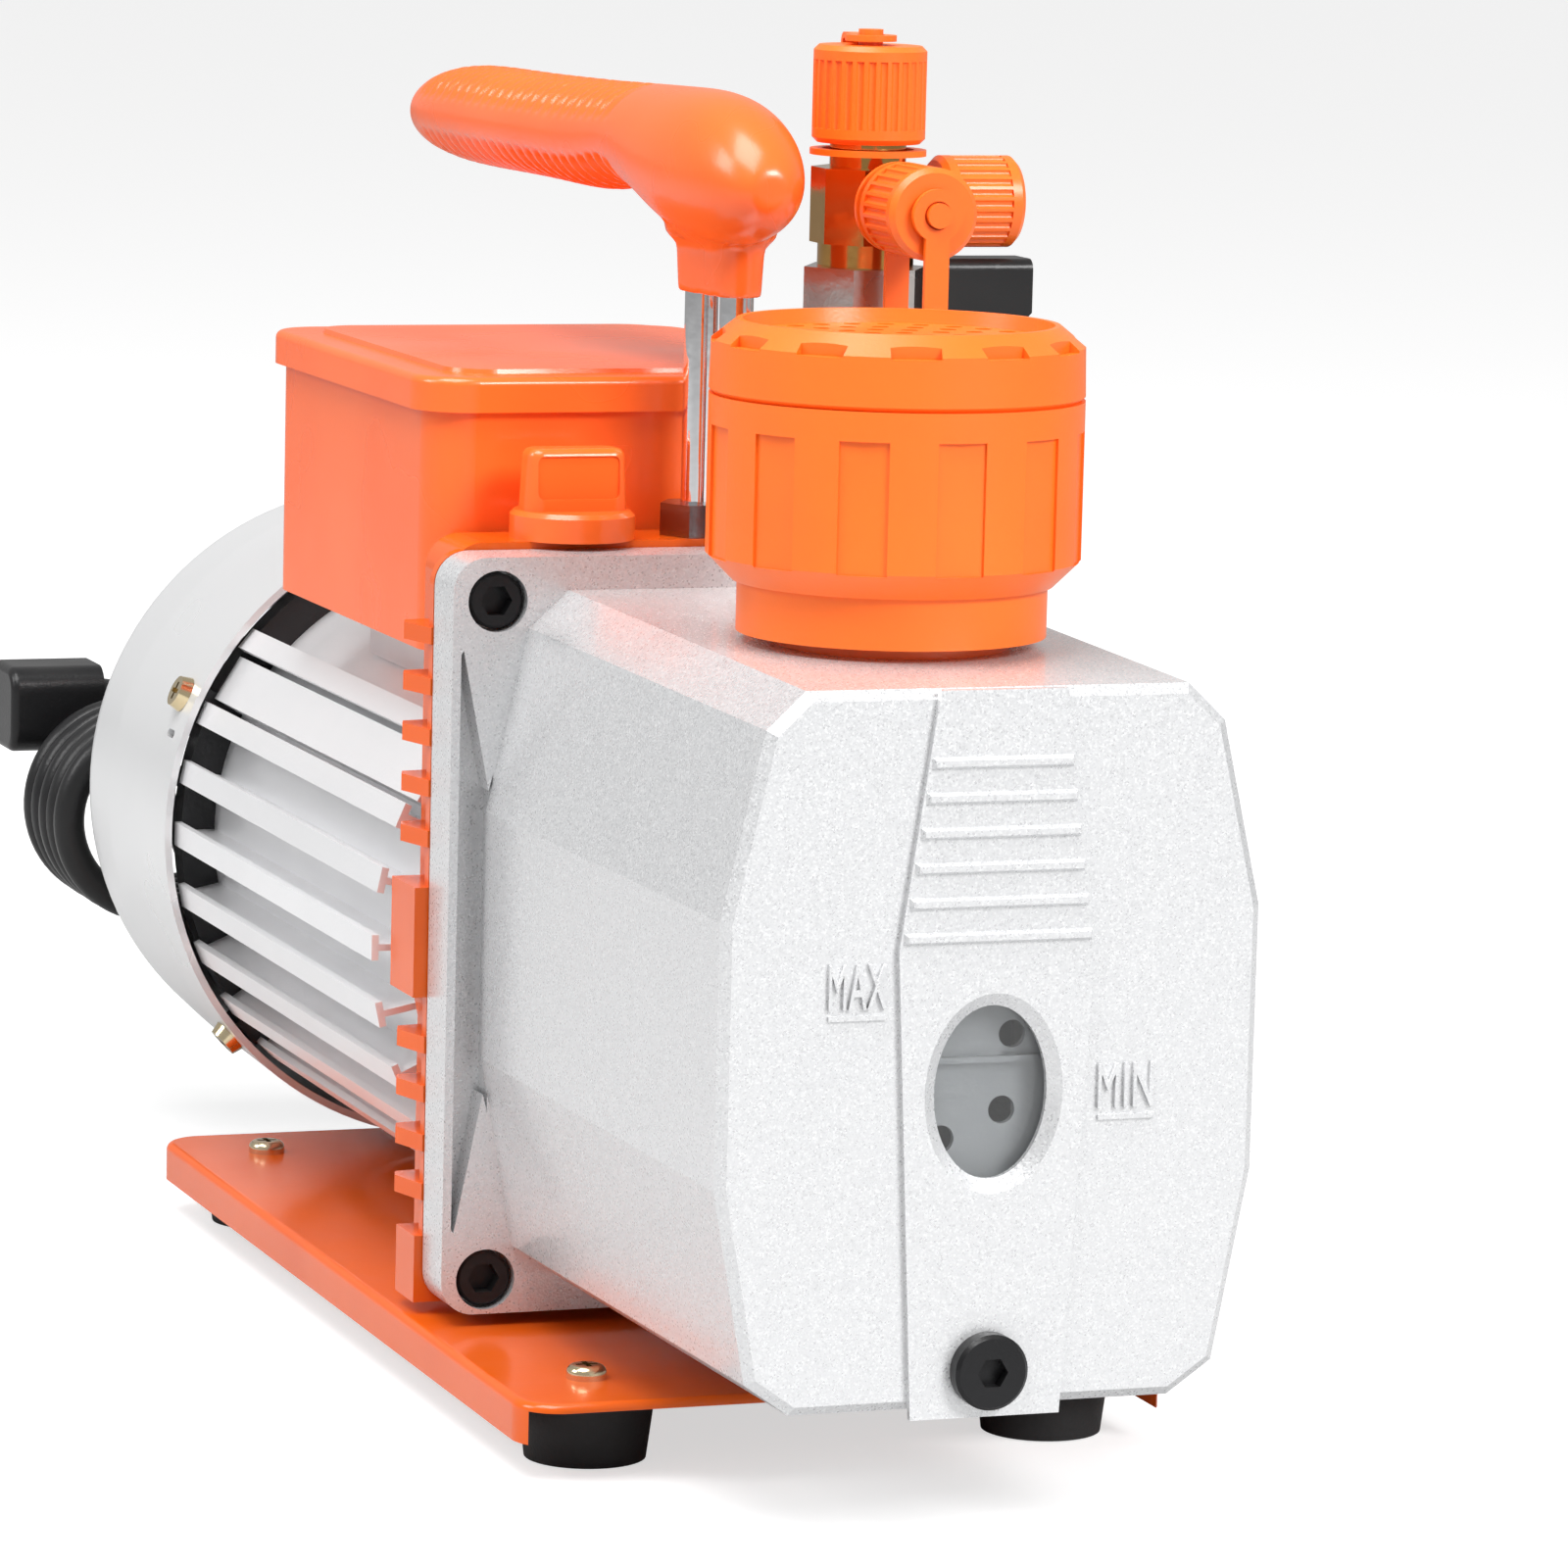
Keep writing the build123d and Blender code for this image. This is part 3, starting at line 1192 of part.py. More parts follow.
rocker_half = switch_h / 2 - 2 * switch_wall - rocker_gap - 0.6
rocker_face = 3.6
with BuildPart() as switch_rocker:
    with BuildSketch(rocker_plane.rotated((0, 0, rocker_tilt))):
        with BuildLine():
            Polyline(
                (-5.0, -3.0), (-1.0, -rocker_half), (rocker_face + 1.4, -rocker_half), (rocker_face, 0),
                (rocker_face + 1.4, rocker_half), (-1.0, rocker_half), (-5.0, 3.0), close=True,
            )
        make_face()
    extrude(amount=(switch_w - 4 * switch_wall - 2 * rocker_gap) / 2, both=True)
    with BuildSketch(rocker_plane):
        Circle(rocker_pin_r)
    extrude(amount=switch_w / 2 - 2 * switch_wall + rocker_pin_bite, both=True)
save(switch_rocker, "switch_rocker")

gland_plane = Plane(origin=(gland_x, y_at(tbox_rear), gland_z), x_dir=(1, 0, 0), z_dir=(0, 1, 0))
with BuildPart() as cord_gland:
    with BuildSketch(gland_plane):
        RegularPolygon(9.0, 6)
    extrude(amount=5.0)
    with BuildSketch(gland_plane.offset(5.0)):
        Circle(7.6)
    extrude(amount=gland_len - 5.0, taper=12)
    with BuildSketch(gland_plane):
        Circle(cord_d / 2 + 2.0)
    extrude(amount=-(tbox_wall + 6.0))
save(cord_gland, "cord_gland")

# ---------------------------------------------------------------- exhaust filter
filter_low = box_top + filter_gap
neck_top = filter_low + neck_h
filter_seam = neck_top + filter_body_h
filter_top = filter_seam + filter_cap_h
filter_port_low = box_top - 7.0

with BuildPart() as filter_housing:
    with BuildSketch(upright_plane(0, filter_y)):
        with BuildLine():
            Polyline(
                (port_bore_r, filter_port_low), (port_thread_r, filter_port_low), (port_thread_r, filter_low + 1.0),
                (neck_r, filter_low + 1.0), (neck_r, neck_top),
                (filter_r - filter_chamfer - 1.0, neck_top), (filter_r, neck_top + filter_chamfer + 1.0),
                (filter_r, filter_seam), (filter_r - filter_wall, filter_seam),
                (filter_r - filter_wall, neck_top + filter_chamfer + 2.0), (port_bore_r, neck_top + 1.0), close=True,
            )
        make_face()
    revolve(axis=upright_axis(0, filter_y))
    with Locations((0, y_at(filter_y), (neck_top + filter_seam) / 2 - 0.4)):
        with PolarLocations(filter_r, panel_count):
            Box(2 * panel_depth, panel_w, filter_body_h - 9.0, mode=Mode.SUBTRACT)
save(filter_housing, "filter_housing")

hole_rings = 4
hole_pitch = 5.6
disc_z = filter_top - filter_dish
with BuildPart() as filter_cap:
    with BuildSketch(upright_plane(0, filter_y)):
        with BuildLine():
            Polyline(
                (0, disc_z - 2.0), (0, disc_z), (filter_rim_r - 1.6, disc_z), (filter_rim_r - 1.0, filter_top),
                (filter_rim_r, filter_top), (filter_r - 0.2, filter_top - 3.4), (filter_r, filter_seam + 0.8),
                (filter_r - 0.8, filter_seam), (filter_r - filter_wall - 0.1, filter_seam),
                (filter_r - filter_wall - 0.1, disc_z - 2.0), close=True,
            )
        make_face()
    revolve(axis=upright_axis(0, filter_y))
    with Locations((0, y_at(filter_y), filter_top - notch_h / 2)):
        with PolarLocations(filter_r - 0.6, panel_count, start_angle=15):
            Box(3.4, panel_w, notch_h, mode=Mode.SUBTRACT)
    with BuildSketch(Plane.XY.offset(disc_z)):
        with Locations((0, y_at(filter_y))):
            Circle(1.5)
            for ring in range(1, hole_rings + 1):
                with PolarLocations(ring * hole_pitch, 6 * ring):
                    Circle(1.5)
    extrude(amount=-2.0, mode=Mode.SUBTRACT)
save(filter_cap, "filter_cap")

with BuildPart() as filter_element:
    with BuildSketch(Plane.XY.offset(neck_top + filter_chamfer + 2.6)):
        with Locations((0, y_at(filter_y))):
            Circle(filter_r - filter_wall - 1.6)
            Circle(filter_r - filter_wall - 11.0, mode=Mode.SUBTRACT)
    extrude(amount=disc_z - 2.2 - neck_top - filter_chamfer - 2.6)
save(filter_element, "filter_element")

# ---------------------------------------------------------------- oil filler
filler_seat = body_top
wing_low = filler_seat + filler_disc_h
with BuildPart() as filler_cap:
    with BuildSketch(Plane.XY.offset(filler_seat)):
        with Locations((filler_x, y_at(filler_y))):
            Circle(filler_r)
    extrude(amount=filler_disc_h)
    chamfer(filler_cap.edges().group_by(Axis.Z)[-1], length=0.8)
    with BuildSketch(Plane.XY.offset(wing_low)):
        with Locations((filler_x, y_at(filler_y))):
            RectangleRounded(filler_wing_w, filler_wing_t, 3.0)
    extrude(amount=filler_wing_h, taper=3)
    fillet(filler_cap.faces().sort_by(Axis.Z)[-1].edges(), radius=1.6)
    for side in (-1, 1):
        with BuildSketch(facing_front(filler_y + side * (filler_wing_t / 2 + 1.0))):
            with Locations((filler_x, wing_low + filler_wing_h / 2 + 0.4)):
                RectangleRounded(filler_wing_w - 3.8, filler_wing_h - 3.4, 1.2)
        extrude(amount=side * 2.0, mode=Mode.SUBTRACT)
    with BuildSketch(Plane.XY.offset(filler_seat)):
        with Locations((filler_x, y_at(filler_y))):
            Circle(filler_thread_r - fit_gap)
    extrude(amount=-filler_thread_h)
    with BuildSketch(Plane.XY.offset(filler_seat)):
        with Locations((filler_x, y_at(filler_y))):
            Circle(filler_thread_r + 2.2)
            Circle(filler_thread_r - fit_gap, mode=Mode.SUBTRACT)
    extrude(amount=1.4, mode=Mode.SUBTRACT)
save(filler_cap, "filler_cap")

filler_seal = upright(filler_x, filler_y, [
    (filler_thread_r + 0.1, filler_seat + 0.02), (filler_thread_r + 2.0, filler_seat + 0.02),
    (filler_thread_r + 2.0, filler_seat + 1.4), (filler_thread_r + 0.1, filler_seat + 1.4),
])
save(filler_seal, "filler_seal")

# ---------------------------------------------------------------- handle
post_top = 216.0
grip_sections = (
    (-16.0, 214.6, 6.0, 7.0), (-9.0, 215.6, 19.0, 17.0), (4.0, 216.6, 26.0, 22.6), (20.0, 217.4, 26.0, 24.0),
    (38.0, 219.4, 21.0, 22.6), (62.0, 219.4, 19.6, 21.0), (95.0, 218.6, 19.6, 21.4), (130.0, 218.2, 19.4, 21.6),
    (158.0, 217.8, 18.0, 20.0), (176.0, 217.2, 12.6, 14.6), (185.0, 216.8, 6.0, 7.0),
)
post_mid = ((rear_post[0] + front_post[0]) / 2, (rear_post[1] + front_post[1]) / 2)
post_gap = math.hypot(rear_post[0] - front_post[0], rear_post[1] - front_post[1])
post_turn = math.degrees(math.atan2(rear_post[1] - front_post[1], rear_post[0] - front_post[0]))
with BuildPart() as handle_grip:
    for y, z, tall, wide in grip_sections:
        with BuildSketch(facing_front(y)):
            with Locations((grip_x, z)):
                Ellipse(wide / 2, tall / 2)
    loft()
    with BuildSketch(Plane.XY.offset(sleeve_z)):
        with Locations((post_mid[0], y_at(post_mid[1]))):
            SlotCenterToCenter(post_gap, 2 * (post_r + sleeve_wall), rotation=post_turn)
    extrude(amount=collar_z - sleeve_z, taper=-3)
    with BuildSketch(Plane.XY.offset(collar_z)):
        with Locations((post_mid[0], y_at(post_mid[1]))):
            SlotCenterToCenter(post_gap, 2 * (post_r + sleeve_wall + 0.8), rotation=post_turn)
    extrude(amount=collar_step - 0.8, taper=-45)
    with BuildSketch(Plane.XY.offset(collar_z + collar_step - 0.8)):
        with Locations((post_mid[0], y_at(post_mid[1]))):
            SlotCenterToCenter(post_gap, 2 * (post_r + sleeve_wall + collar_step), rotation=post_turn)
    extrude(amount=post_top - collar_z - collar_step + 0.8)
    with BuildSketch(Plane.XY.offset(sleeve_z - 1.0)):
        with Locations(*[(x, y_at(y)) for x, y in (rear_post, front_post)]):
            Circle(post_r)
    extrude(amount=post_top - sleeve_z + 1.0, mode=Mode.SUBTRACT)
save(handle_grip, "handle_grip")

with BuildPart() as handle_posts:
    for (x, y), foot, low in ((rear_post, body_top, post_thread_len), (front_post, joint_high, post_thread_len)):
        with BuildSketch(Plane.XY.offset(foot)):
            with Locations((x, y_at(y))):
                Circle(post_r)
        extrude(amount=post_top - foot)
        with BuildSketch(Plane.XY.offset(foot)):
            with Locations((x, y_at(y))):
                Circle(post_thread_r)
        extrude(amount=-low)
save(handle_posts, "handle_posts")

with BuildPart() as post_nut:
    with BuildSketch(Plane.XY.offset(body_top)):
        with Locations((rear_post[0], y_at(rear_post[1]))):
            RegularPolygon(nut_af / math.sqrt(3), 6)
            Circle(post_r, mode=Mode.SUBTRACT)
    extrude(amount=nut_h)
save(post_nut, "post_nut")

# ---------------------------------------------------------------- isolation valve and inlet tee
inlet = (inlet_x, y_at(inlet_y))
side_plane = Plane(origin=(inlet_x, inlet[1], ball_z), x_dir=(0, 1, 0), z_dir=(1, 0, 0))
valve_bore_r = ball_r + ball_gap

with BuildPart() as valve_body:
    with BuildSketch(Plane.XY.offset(body_top)):
        with Locations(inlet):
            RegularPolygon(valve_foot_af / math.sqrt(3), 6)
    extrude(amount=valve_foot_h)
    with BuildSketch(Plane.XY.offset(body_top)):
        with Locations(inlet):
            Circle(valve_thread_r)
    extrude(amount=-valve_thread_len)
    with BuildSketch(Plane.XY.offset(body_top + valve_foot_h)):
        with Locations(inlet):
            Circle(valve_r)
    extrude(amount=valve_split_z - body_top - valve_foot_h)
    with BuildSketch(Plane.XY.offset(valve_split_z)):
        with Locations(inlet):
            RegularPolygon(valve_foot_af / math.sqrt(3), 6)
    extrude(amount=valve_hex_z - valve_split_z)
    with BuildSketch(side_plane):
        Circle(stem_boss_r)
    extrude(amount=stem_boss_x)
    with Locations((inlet_x, inlet[1], ball_z)):
        Sphere(valve_bore_r, mode=Mode.SUBTRACT)
    with BuildSketch(Plane.XY.offset(ball_z)):
        with Locations(inlet):
            Circle(valve_bore_r)
    extrude(amount=valve_hex_z - ball_z + 1.0, mode=Mode.SUBTRACT)
    with BuildSketch(Plane.XY.offset(body_top - valve_thread_len)):
        with Locations(inlet):
            Circle(flow_r - 0.8)
    extrude(amount=100.0, mode=Mode.SUBTRACT)
    with BuildSketch(side_plane):
        Circle(stem_r + fit_gap)
    extrude(amount=40.0, mode=Mode.SUBTRACT)
save(valve_body, "valve_body")

with BuildPart() as valve_ball:
    with Locations((inlet_x, inlet[1], ball_z)):
        Sphere(ball_r)
    with BuildSketch(Plane.XY.offset(ball_z - ball_r)):
        with Locations(inlet):
            Circle(flow_r)
    extrude(amount=2 * ball_r, mode=Mode.SUBTRACT)
    with BuildSketch(side_plane.offset(flow_r + 1.0)):
        Circle(stem_r)
    extrude(amount=lever_in + 3.0 - inlet_x - flow_r - 1.0)
save(valve_ball, "valve_ball")

lever_plane = Plane(origin=(0, inlet[1], 0), x_dir=(1, 0, 0), z_dir=(0, -1, 0))
hub_side = inlet_x + stem_boss_x + 0.6
with BuildPart() as valve_lever:
    with BuildSketch(lever_plane):
        with BuildLine():
            Polyline(
                (hub_side, ball_z - lever_hub_r), (hub_side + 5.0, ball_z - lever_hub_r),
                (hub_side + 5.0, ball_z + 7.0), (lever_out, lever_top - 9.6), (lever_out, lever_top),
                (hub_side, lever_top), close=True,
            )
        make_face()
    extrude(amount=lever_w / 2, both=True)
    fillet(valve_lever.edges().filter_by(Axis.X).group_by(Axis.Z)[0], radius=5.0)
    fillet(valve_lever.faces().sort_by(Axis.Z)[-1].edges().filter_by(Axis.X), radius=2.0)
    with BuildSketch(side_plane.offset(hub_side - inlet_x)):
        Circle(stem_r)
    extrude(amount=lever_in + 3.0 - hub_side, mode=Mode.SUBTRACT)
save(valve_lever, "valve_lever")

top_ring_z = tee_high_z + 1.0
with BuildPart() as inlet_tee:
    with BuildSketch(Plane.XY.offset(valve_hex_z)):
        with Locations(inlet):
            Circle(collar_r)
    extrude(amount=tee_low_z - valve_hex_z)
    with BuildSketch(Plane.XY.offset(tee_low_z)):
        with Locations(inlet):
            RegularPolygon(tee_af / 2 / math.cos(math.pi / 8), 8, rotation=22.5)
    extrude(amount=tee_high_z - tee_low_z)
    with BuildSketch(Plane.XY.offset(valve_hex_z)):
        with Locations(inlet):
            Circle(valve_bore_r)
    extrude(amount=-(valve_hex_z - valve_split_z - 4.0))
    with BuildSketch(Plane.XY.offset(tee_high_z)):
        with Locations(inlet):
            Circle(big_neck_r)
    extrude(amount=5.0)
    with BuildSketch(Plane.XY.offset(tee_high_z + 4.8)):
        with Locations(inlet):
            Circle(big_thread_r)
    extrude(amount=thread_len)
    with BuildSketch(facing_front(inlet_y)):
        with Locations((inlet_x, tee_mid_z)):
            Circle(small_neck_r)
    extrude(amount=port_reach)
    with BuildSketch(facing_front(inlet_y - port_reach)):
        with Locations((inlet_x, tee_mid_z)):
            Circle(small_thread_r)
    extrude(amount=thread_len)
    with BuildSketch(Plane(origin=(inlet_x, inlet[1], tee_mid_z), x_dir=(0, 1, 0), z_dir=(1, 0, 0))):
        Circle(small_neck_r)
    extrude(amount=port_reach - 5.0)
    with BuildSketch(Plane(origin=(inlet_x + port_reach - 5.0, inlet[1], tee_mid_z), x_dir=(0, 1, 0),
                           z_dir=(1, 0, 0))):
        Circle(small_thread_r)
    extrude(amount=thread_len - 1.8)
    with BuildSketch(Plane.XY.offset(tee_high_z + 20.0)):
        with Locations(inlet):
            Circle(flow_r)
    extrude(amount=-60.0, mode=Mode.SUBTRACT)
    with BuildSketch(facing_front(inlet_y)):
        with Locations((inlet_x, tee_mid_z)):
            Circle(small_thread_r - 2.6)
    extrude(amount=40.0, mode=Mode.SUBTRACT)
    with BuildSketch(Plane(origin=(inlet_x, inlet[1], tee_mid_z), x_dir=(0, 1, 0), z_dir=(1, 0, 0))):
        Circle(small_thread_r - 2.6)
    extrude(amount=40.0, mode=Mode.SUBTRACT)
save(inlet_tee, "inlet_tee")


def service_cap(port, out, radius, bore_r, length, flutes, knob):
    """Knurled cap on a port plane, mouth at `out` along the plane's normal, knob of a given height."""
    with BuildPart() as made:
        with BuildSketch(port.offset(out)):
            Circle(radius)
        extrude(amount=length)
        chamfer(made.edges().filter_by(GeomType.CIRCLE), length=0.9)
        with BuildSketch(port.offset(out + 2.6)):
            with PolarLocations(radius + 0.25, flutes):
                Circle(0.75)
        extrude(amount=length - 5.2, mode=Mode.SUBTRACT)
        with BuildSketch(port.offset(out)):
            Circle(bore_r)
        extrude(amount=thread_len + 0.4, mode=Mode.SUBTRACT)
        with BuildSketch(port.offset(out + length)):
            Circle(button_r)
        extrude(amount=knob)
    return made


def cap_strap(port, ring_at, thread_r, reach, button_at, bulge):
    """Strap with a ring round the neck and an eyelet on the cap's button, bulging to one side."""
    ring_r = thread_r + strap_gap
    side = Plane(origin=port.origin, x_dir=port.z_dir, z_dir=port.z_dir.cross(Vector(*bulge)))
    with BuildPart() as made:
        with BuildSketch(side):
            with BuildLine():
                FilletPolyline(
                    (ring_at, ring_r + 1.4), (ring_at, reach), (button_at, reach), (button_at, button_r + 1.4),
                    radius=1.6,
                )
                offset(amount=strap_t / 2, side=Side.BOTH)
            make_face()
        extrude(amount=strap_w / 2, both=True)
        for along, out_r, in_r in ((ring_at, ring_r + 2.2, ring_r), (button_at, eyelet_r, button_r + strap_gap)):
            with BuildSketch(port.offset(along - strap_t / 2)):
                Circle(out_r)
            extrude(amount=strap_t)
            with BuildSketch(port.offset(along - strap_t)):
                Circle(in_r)
            extrude(amount=2 * strap_t, mode=Mode.SUBTRACT)
    return made


top_port = Plane(origin=(inlet_x, inlet[1], tee_mid_z), x_dir=(1, 0, 0), z_dir=(0, 0, 1))
front_port = Plane(origin=(inlet_x, inlet[1], tee_mid_z), x_dir=(1, 0, 0), z_dir=(0, -1, 0))
side_port = Plane(origin=(inlet_x, inlet[1], tee_mid_z), x_dir=(0, 1, 0), z_dir=(1, 0, 0))
top_out = tee_high_z + 4.4 - tee_mid_z
front_out = port_reach - 0.4
side_out = port_reach - 5.4
side_cap_len = 14.8
front_strap_reach = 21.0
button_step = button_h * 0.45

top_cap = service_cap(top_port, top_out, big_cap_r, big_thread_r + fit_gap, big_cap_len, 30, button_h)
save(top_cap, "top_cap")
front_cap = service_cap(front_port, front_out, small_cap_r, small_thread_r + fit_gap, small_cap_len, 26, button_h)
save(front_cap, "front_cap")
side_cap = service_cap(side_port, side_out, small_cap_r, small_thread_r + fit_gap, side_cap_len, 26, 0.6)
save(side_cap, "side_cap")
top_strap = cap_strap(top_port, top_out - 1.6, big_thread_r, big_cap_r + strap_clear,
                      top_out + big_cap_len + button_step, (0.1, 1, 0))
save(top_strap, "top_strap")
front_strap = cap_strap(front_port, front_out - 1.8, small_thread_r, front_strap_reach,
                        front_out + small_cap_len + button_step, (0, 0, -1))
save(front_strap, "front_strap")

with BuildPart() as side_cap_seal:
    with BuildSketch(side_port.offset(side_out + thread_len + 0.4)):
        Circle(small_thread_r - 0.4)
        Circle(small_thread_r - 2.4, mode=Mode.SUBTRACT)
    extrude(amount=-1.0)
save(side_cap_seal, "side_cap_seal")

with BuildPart() as drain_seal:
    with BuildSketch(facing_front(front_face - strip_proud)):
        with Locations((0, drain_z)):
            Circle(drain_thread_d / 2 + drain_seal_w)
            Circle(drain_thread_d / 2 + fit_gap, mode=Mode.SUBTRACT)
    extrude(amount=drain_seal_t)
save(drain_seal, "drain_seal")

# ---------------------------------------------------------------- cord
exit_point = (gland_x, tbox_rear + gland_len, gland_z)
lead_points = [
    exit_point, (14.4, 172.0, 156.0), (13.6, 199.0, 156.0), (11.0, 226.0, 150.0), (5.0, 248.0, 134.0),
    (-3.0, 257.0, 112.0), (-17.0, 254.0, 93.0), (-41.0, 249.8, 85.6),
]


def arc_radii(points):
    """Largest radius that each corner's two runs allow, 0.45 of the shorter run used."""
    spots = [Vector(*p) for p in points]
    radii = []
    for before, here, after in zip(spots, spots[1:], spots[2:]):
        turn = (here - before).get_angle(after - here)
        run = min((here - before).length, (after - here).length)
        radii.append(0.45 * run / math.tan(math.radians(turn) / 2))
    return radii


lead_route = [(x, y_at(y), z) for x, y, z in lead_points]
lead_radii = arc_radii(lead_route)
print("cord radii", [round(r, 1) for r in lead_radii])
with BuildPart() as cord_lead:
    with BuildLine():
        lead_path = FilletPolyline(*lead_route, radius=lead_radii)
    with BuildSketch(Plane(origin=lead_path @ 0, z_dir=lead_path % 0)):
        Circle(cord_d / 2)
    sweep(path=lead_path)
save(cord_lead, "cord_lead")
print("lead length", round(lead_path.length, 1), "volume ratio",
      round(cord_lead.part.volume / (lead_path.length * math.pi * cord_d**2 / 4), 4))

hank_r = (hank_fold * cord_d + cord_d) / 2
hank_mid_z = hank_low + hank_r
hank_depth = hank_turns * cord_d
hank_back = hank_y + hank_depth
hank_span = hank_right - hank_left - 2 * hank_r
plug_y = hank_back + plug_r + 0.8
plug_tail_x = hank_left + plug_len
with BuildPart() as cord_hank:
    with BuildSketch(facing_front(hank_back)):
        with Locations(((hank_left + hank_right) / 2, hank_mid_z)):
            SlotCenterToCenter(hank_span, 2 * hank_r)
            SlotCenterToCenter(hank_span, 2 * (hank_r - cord_d), mode=Mode.SUBTRACT)
    extrude(amount=hank_depth)
    with BuildLine():
        tail = Polyline((hank_right - hank_r, y_at(hank_back - cord_d / 2), hank_mid_z + hank_r - cord_d / 2),
                        (plug_tail_x, y_at(plug_y), plug_z))
    with BuildSketch(Plane(origin=tail @ 0, z_dir=tail % 0)):
        Circle(cord_d / 2)
    sweep(path=tail)
save(cord_hank, "cord_hank")

plug_plane = Plane(origin=(plug_tail_x, y_at(plug_y), plug_z), x_dir=(0, 1, 0), z_dir=(-1, 0, 0))
with BuildPart() as cord_plug:
    with BuildSketch(plug_plane):
        Circle(cord_d / 2 + 0.4)
    with BuildSketch(plug_plane.offset(14.0)):
        Circle(cord_d / 2 + 2.4)
    loft()
    with BuildSketch(plug_plane.offset(14.0)):
        RectangleRounded(2 * plug_r, 2 * plug_r - 3.0, 5.0)
    extrude(amount=plug_len - 14.0)
    fillet(cord_plug.faces().sort_by(Axis.X)[0].edges(), radius=1.6)
    pin_face = y_at(plug_y) + plug_r
    with BuildSketch(Plane(origin=(hank_left + (plug_len - 14.0) / 2, pin_face, plug_z), x_dir=(1, 0, 0),
                           z_dir=(0, 1, 0))):
        with Locations((0, -4.6), (0, 4.6)):
            Rectangle(6.0, 1.5)
    extrude(amount=16.0)
save(cord_plug, "cord_plug")
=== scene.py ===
# %% [markdown]
# # A rotary vane vacuum pump, finished for rendering
#
# The pump's hard parts come from a CAD model that is loaded as a frame. Their shapes
# are right already, so this lesson gives them their finishes, adds the small pieces
# that CAD leaves plain, lays the mains lead, and sets the camera and the lights.

# %% Load the frame
import bpy
import math
from mathutils import Matrix, Vector


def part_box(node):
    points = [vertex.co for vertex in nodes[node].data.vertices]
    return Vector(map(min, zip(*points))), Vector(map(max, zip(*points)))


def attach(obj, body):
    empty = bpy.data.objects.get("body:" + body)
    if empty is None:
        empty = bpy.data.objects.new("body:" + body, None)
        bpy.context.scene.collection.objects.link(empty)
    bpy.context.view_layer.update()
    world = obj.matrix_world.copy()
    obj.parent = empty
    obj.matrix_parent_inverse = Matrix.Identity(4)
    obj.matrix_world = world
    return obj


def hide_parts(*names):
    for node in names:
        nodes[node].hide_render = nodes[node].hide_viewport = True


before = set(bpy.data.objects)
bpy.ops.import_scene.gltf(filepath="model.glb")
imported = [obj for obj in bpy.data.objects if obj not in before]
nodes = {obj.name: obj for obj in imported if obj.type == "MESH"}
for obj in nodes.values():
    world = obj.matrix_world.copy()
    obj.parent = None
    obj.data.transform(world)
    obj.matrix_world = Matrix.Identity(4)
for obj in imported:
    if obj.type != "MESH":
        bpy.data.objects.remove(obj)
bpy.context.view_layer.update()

print("loaded", len(nodes), "nodes")

# %% [markdown]
# ## Camera
#
# A long lens stands to the left of the pump's face and a little above it. The camera
# is placed by the three directions it sees: right, up and ahead. That is easier to
# reason about than Euler angles when the picture leans by a degree or two.

# %% Camera
flange_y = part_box("oil_box_gasket")[0].y - 0.0113
camera_spot = Vector((-0.4310, flange_y - 1.2110, 0.2976))
yaw = math.radians(20.02)
pitch = math.radians(8.34)
lean = math.radians(1.45)

ahead = Vector((
    math.cos(pitch) * math.sin(yaw), math.cos(pitch) * math.cos(yaw), -math.sin(pitch),
))
level_right = Vector((math.cos(yaw), -math.sin(yaw), 0))
level_up = level_right.cross(ahead)
right = math.cos(lean) * level_right + math.sin(lean) * level_up
up = math.cos(lean) * level_up - math.sin(lean) * level_right

bpy.ops.object.camera_add()
camera = bpy.context.object
camera.name = "camera"
camera_turn = Matrix((right, up, -ahead)).transposed().to_4x4()
camera.matrix_world = Matrix.Translation(camera_spot) @ camera_turn
camera.data.lens = 168.87
camera.data.sensor_width = 36
camera.data.shift_x = -0.0122
camera.data.clip_end = 30
bpy.context.scene.camera = camera
print("camera", [round(v, 3) for v in camera_spot])


# %% [markdown]
# ## Selecting by place
#
# Operators work on what is selected, so each cell starts from nothing selected and
# picks its faces by where they are. These two helpers do that for every piece.

# %% Selecting helpers
def start_clean():
    """Leave edit mode and deselect every object."""
    if bpy.context.object and bpy.context.object.mode != "OBJECT":
        bpy.ops.object.mode_set(mode="OBJECT")
    bpy.ops.object.select_all(action="DESELECT")


def pick_faces(test):
    """In edit mode, select the active mesh's faces whose centre and normal pass the test."""
    bpy.ops.mesh.select_mode(type="FACE")
    bpy.ops.mesh.select_all(action="DESELECT")
    bpy.ops.object.mode_set(mode="OBJECT")
    mesh = bpy.context.object.data
    for face in mesh.polygons:
        face.select = bool(test(face.center, face.normal))
    bpy.ops.object.mode_set(mode="EDIT")


def settle(piece, name, body="pump"):
    """Bake the piece's place into its mesh, name it, and let it ride on a body."""
    start_clean()
    piece.select_set(True)
    bpy.context.view_layer.objects.active = piece
    bpy.ops.object.transform_apply(location=True, rotation=True, scale=True)
    piece.name = name
    piece.data.name = name
    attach(piece, body)
    return piece


def finish_modifiers(piece):
    """Apply every modifier of the piece, first to last."""
    start_clean()
    bpy.context.view_layer.objects.active = piece
    piece.select_set(True)
    for modifier in list(piece.modifiers):
        bpy.ops.object.modifier_apply(modifier=modifier.name)


# %% [markdown]
# ## The mains lead
#
# The lead leaves the gland on the back of the terminal box, passes over the fan cover
# and hangs behind it in a tied hank, which is how such a pump is put away. A NURBS
# spline of order 3 follows its points closely and never kinks. The stretch to the
# hank is a list of points; the hank's turns are worked out, each one a step further back.

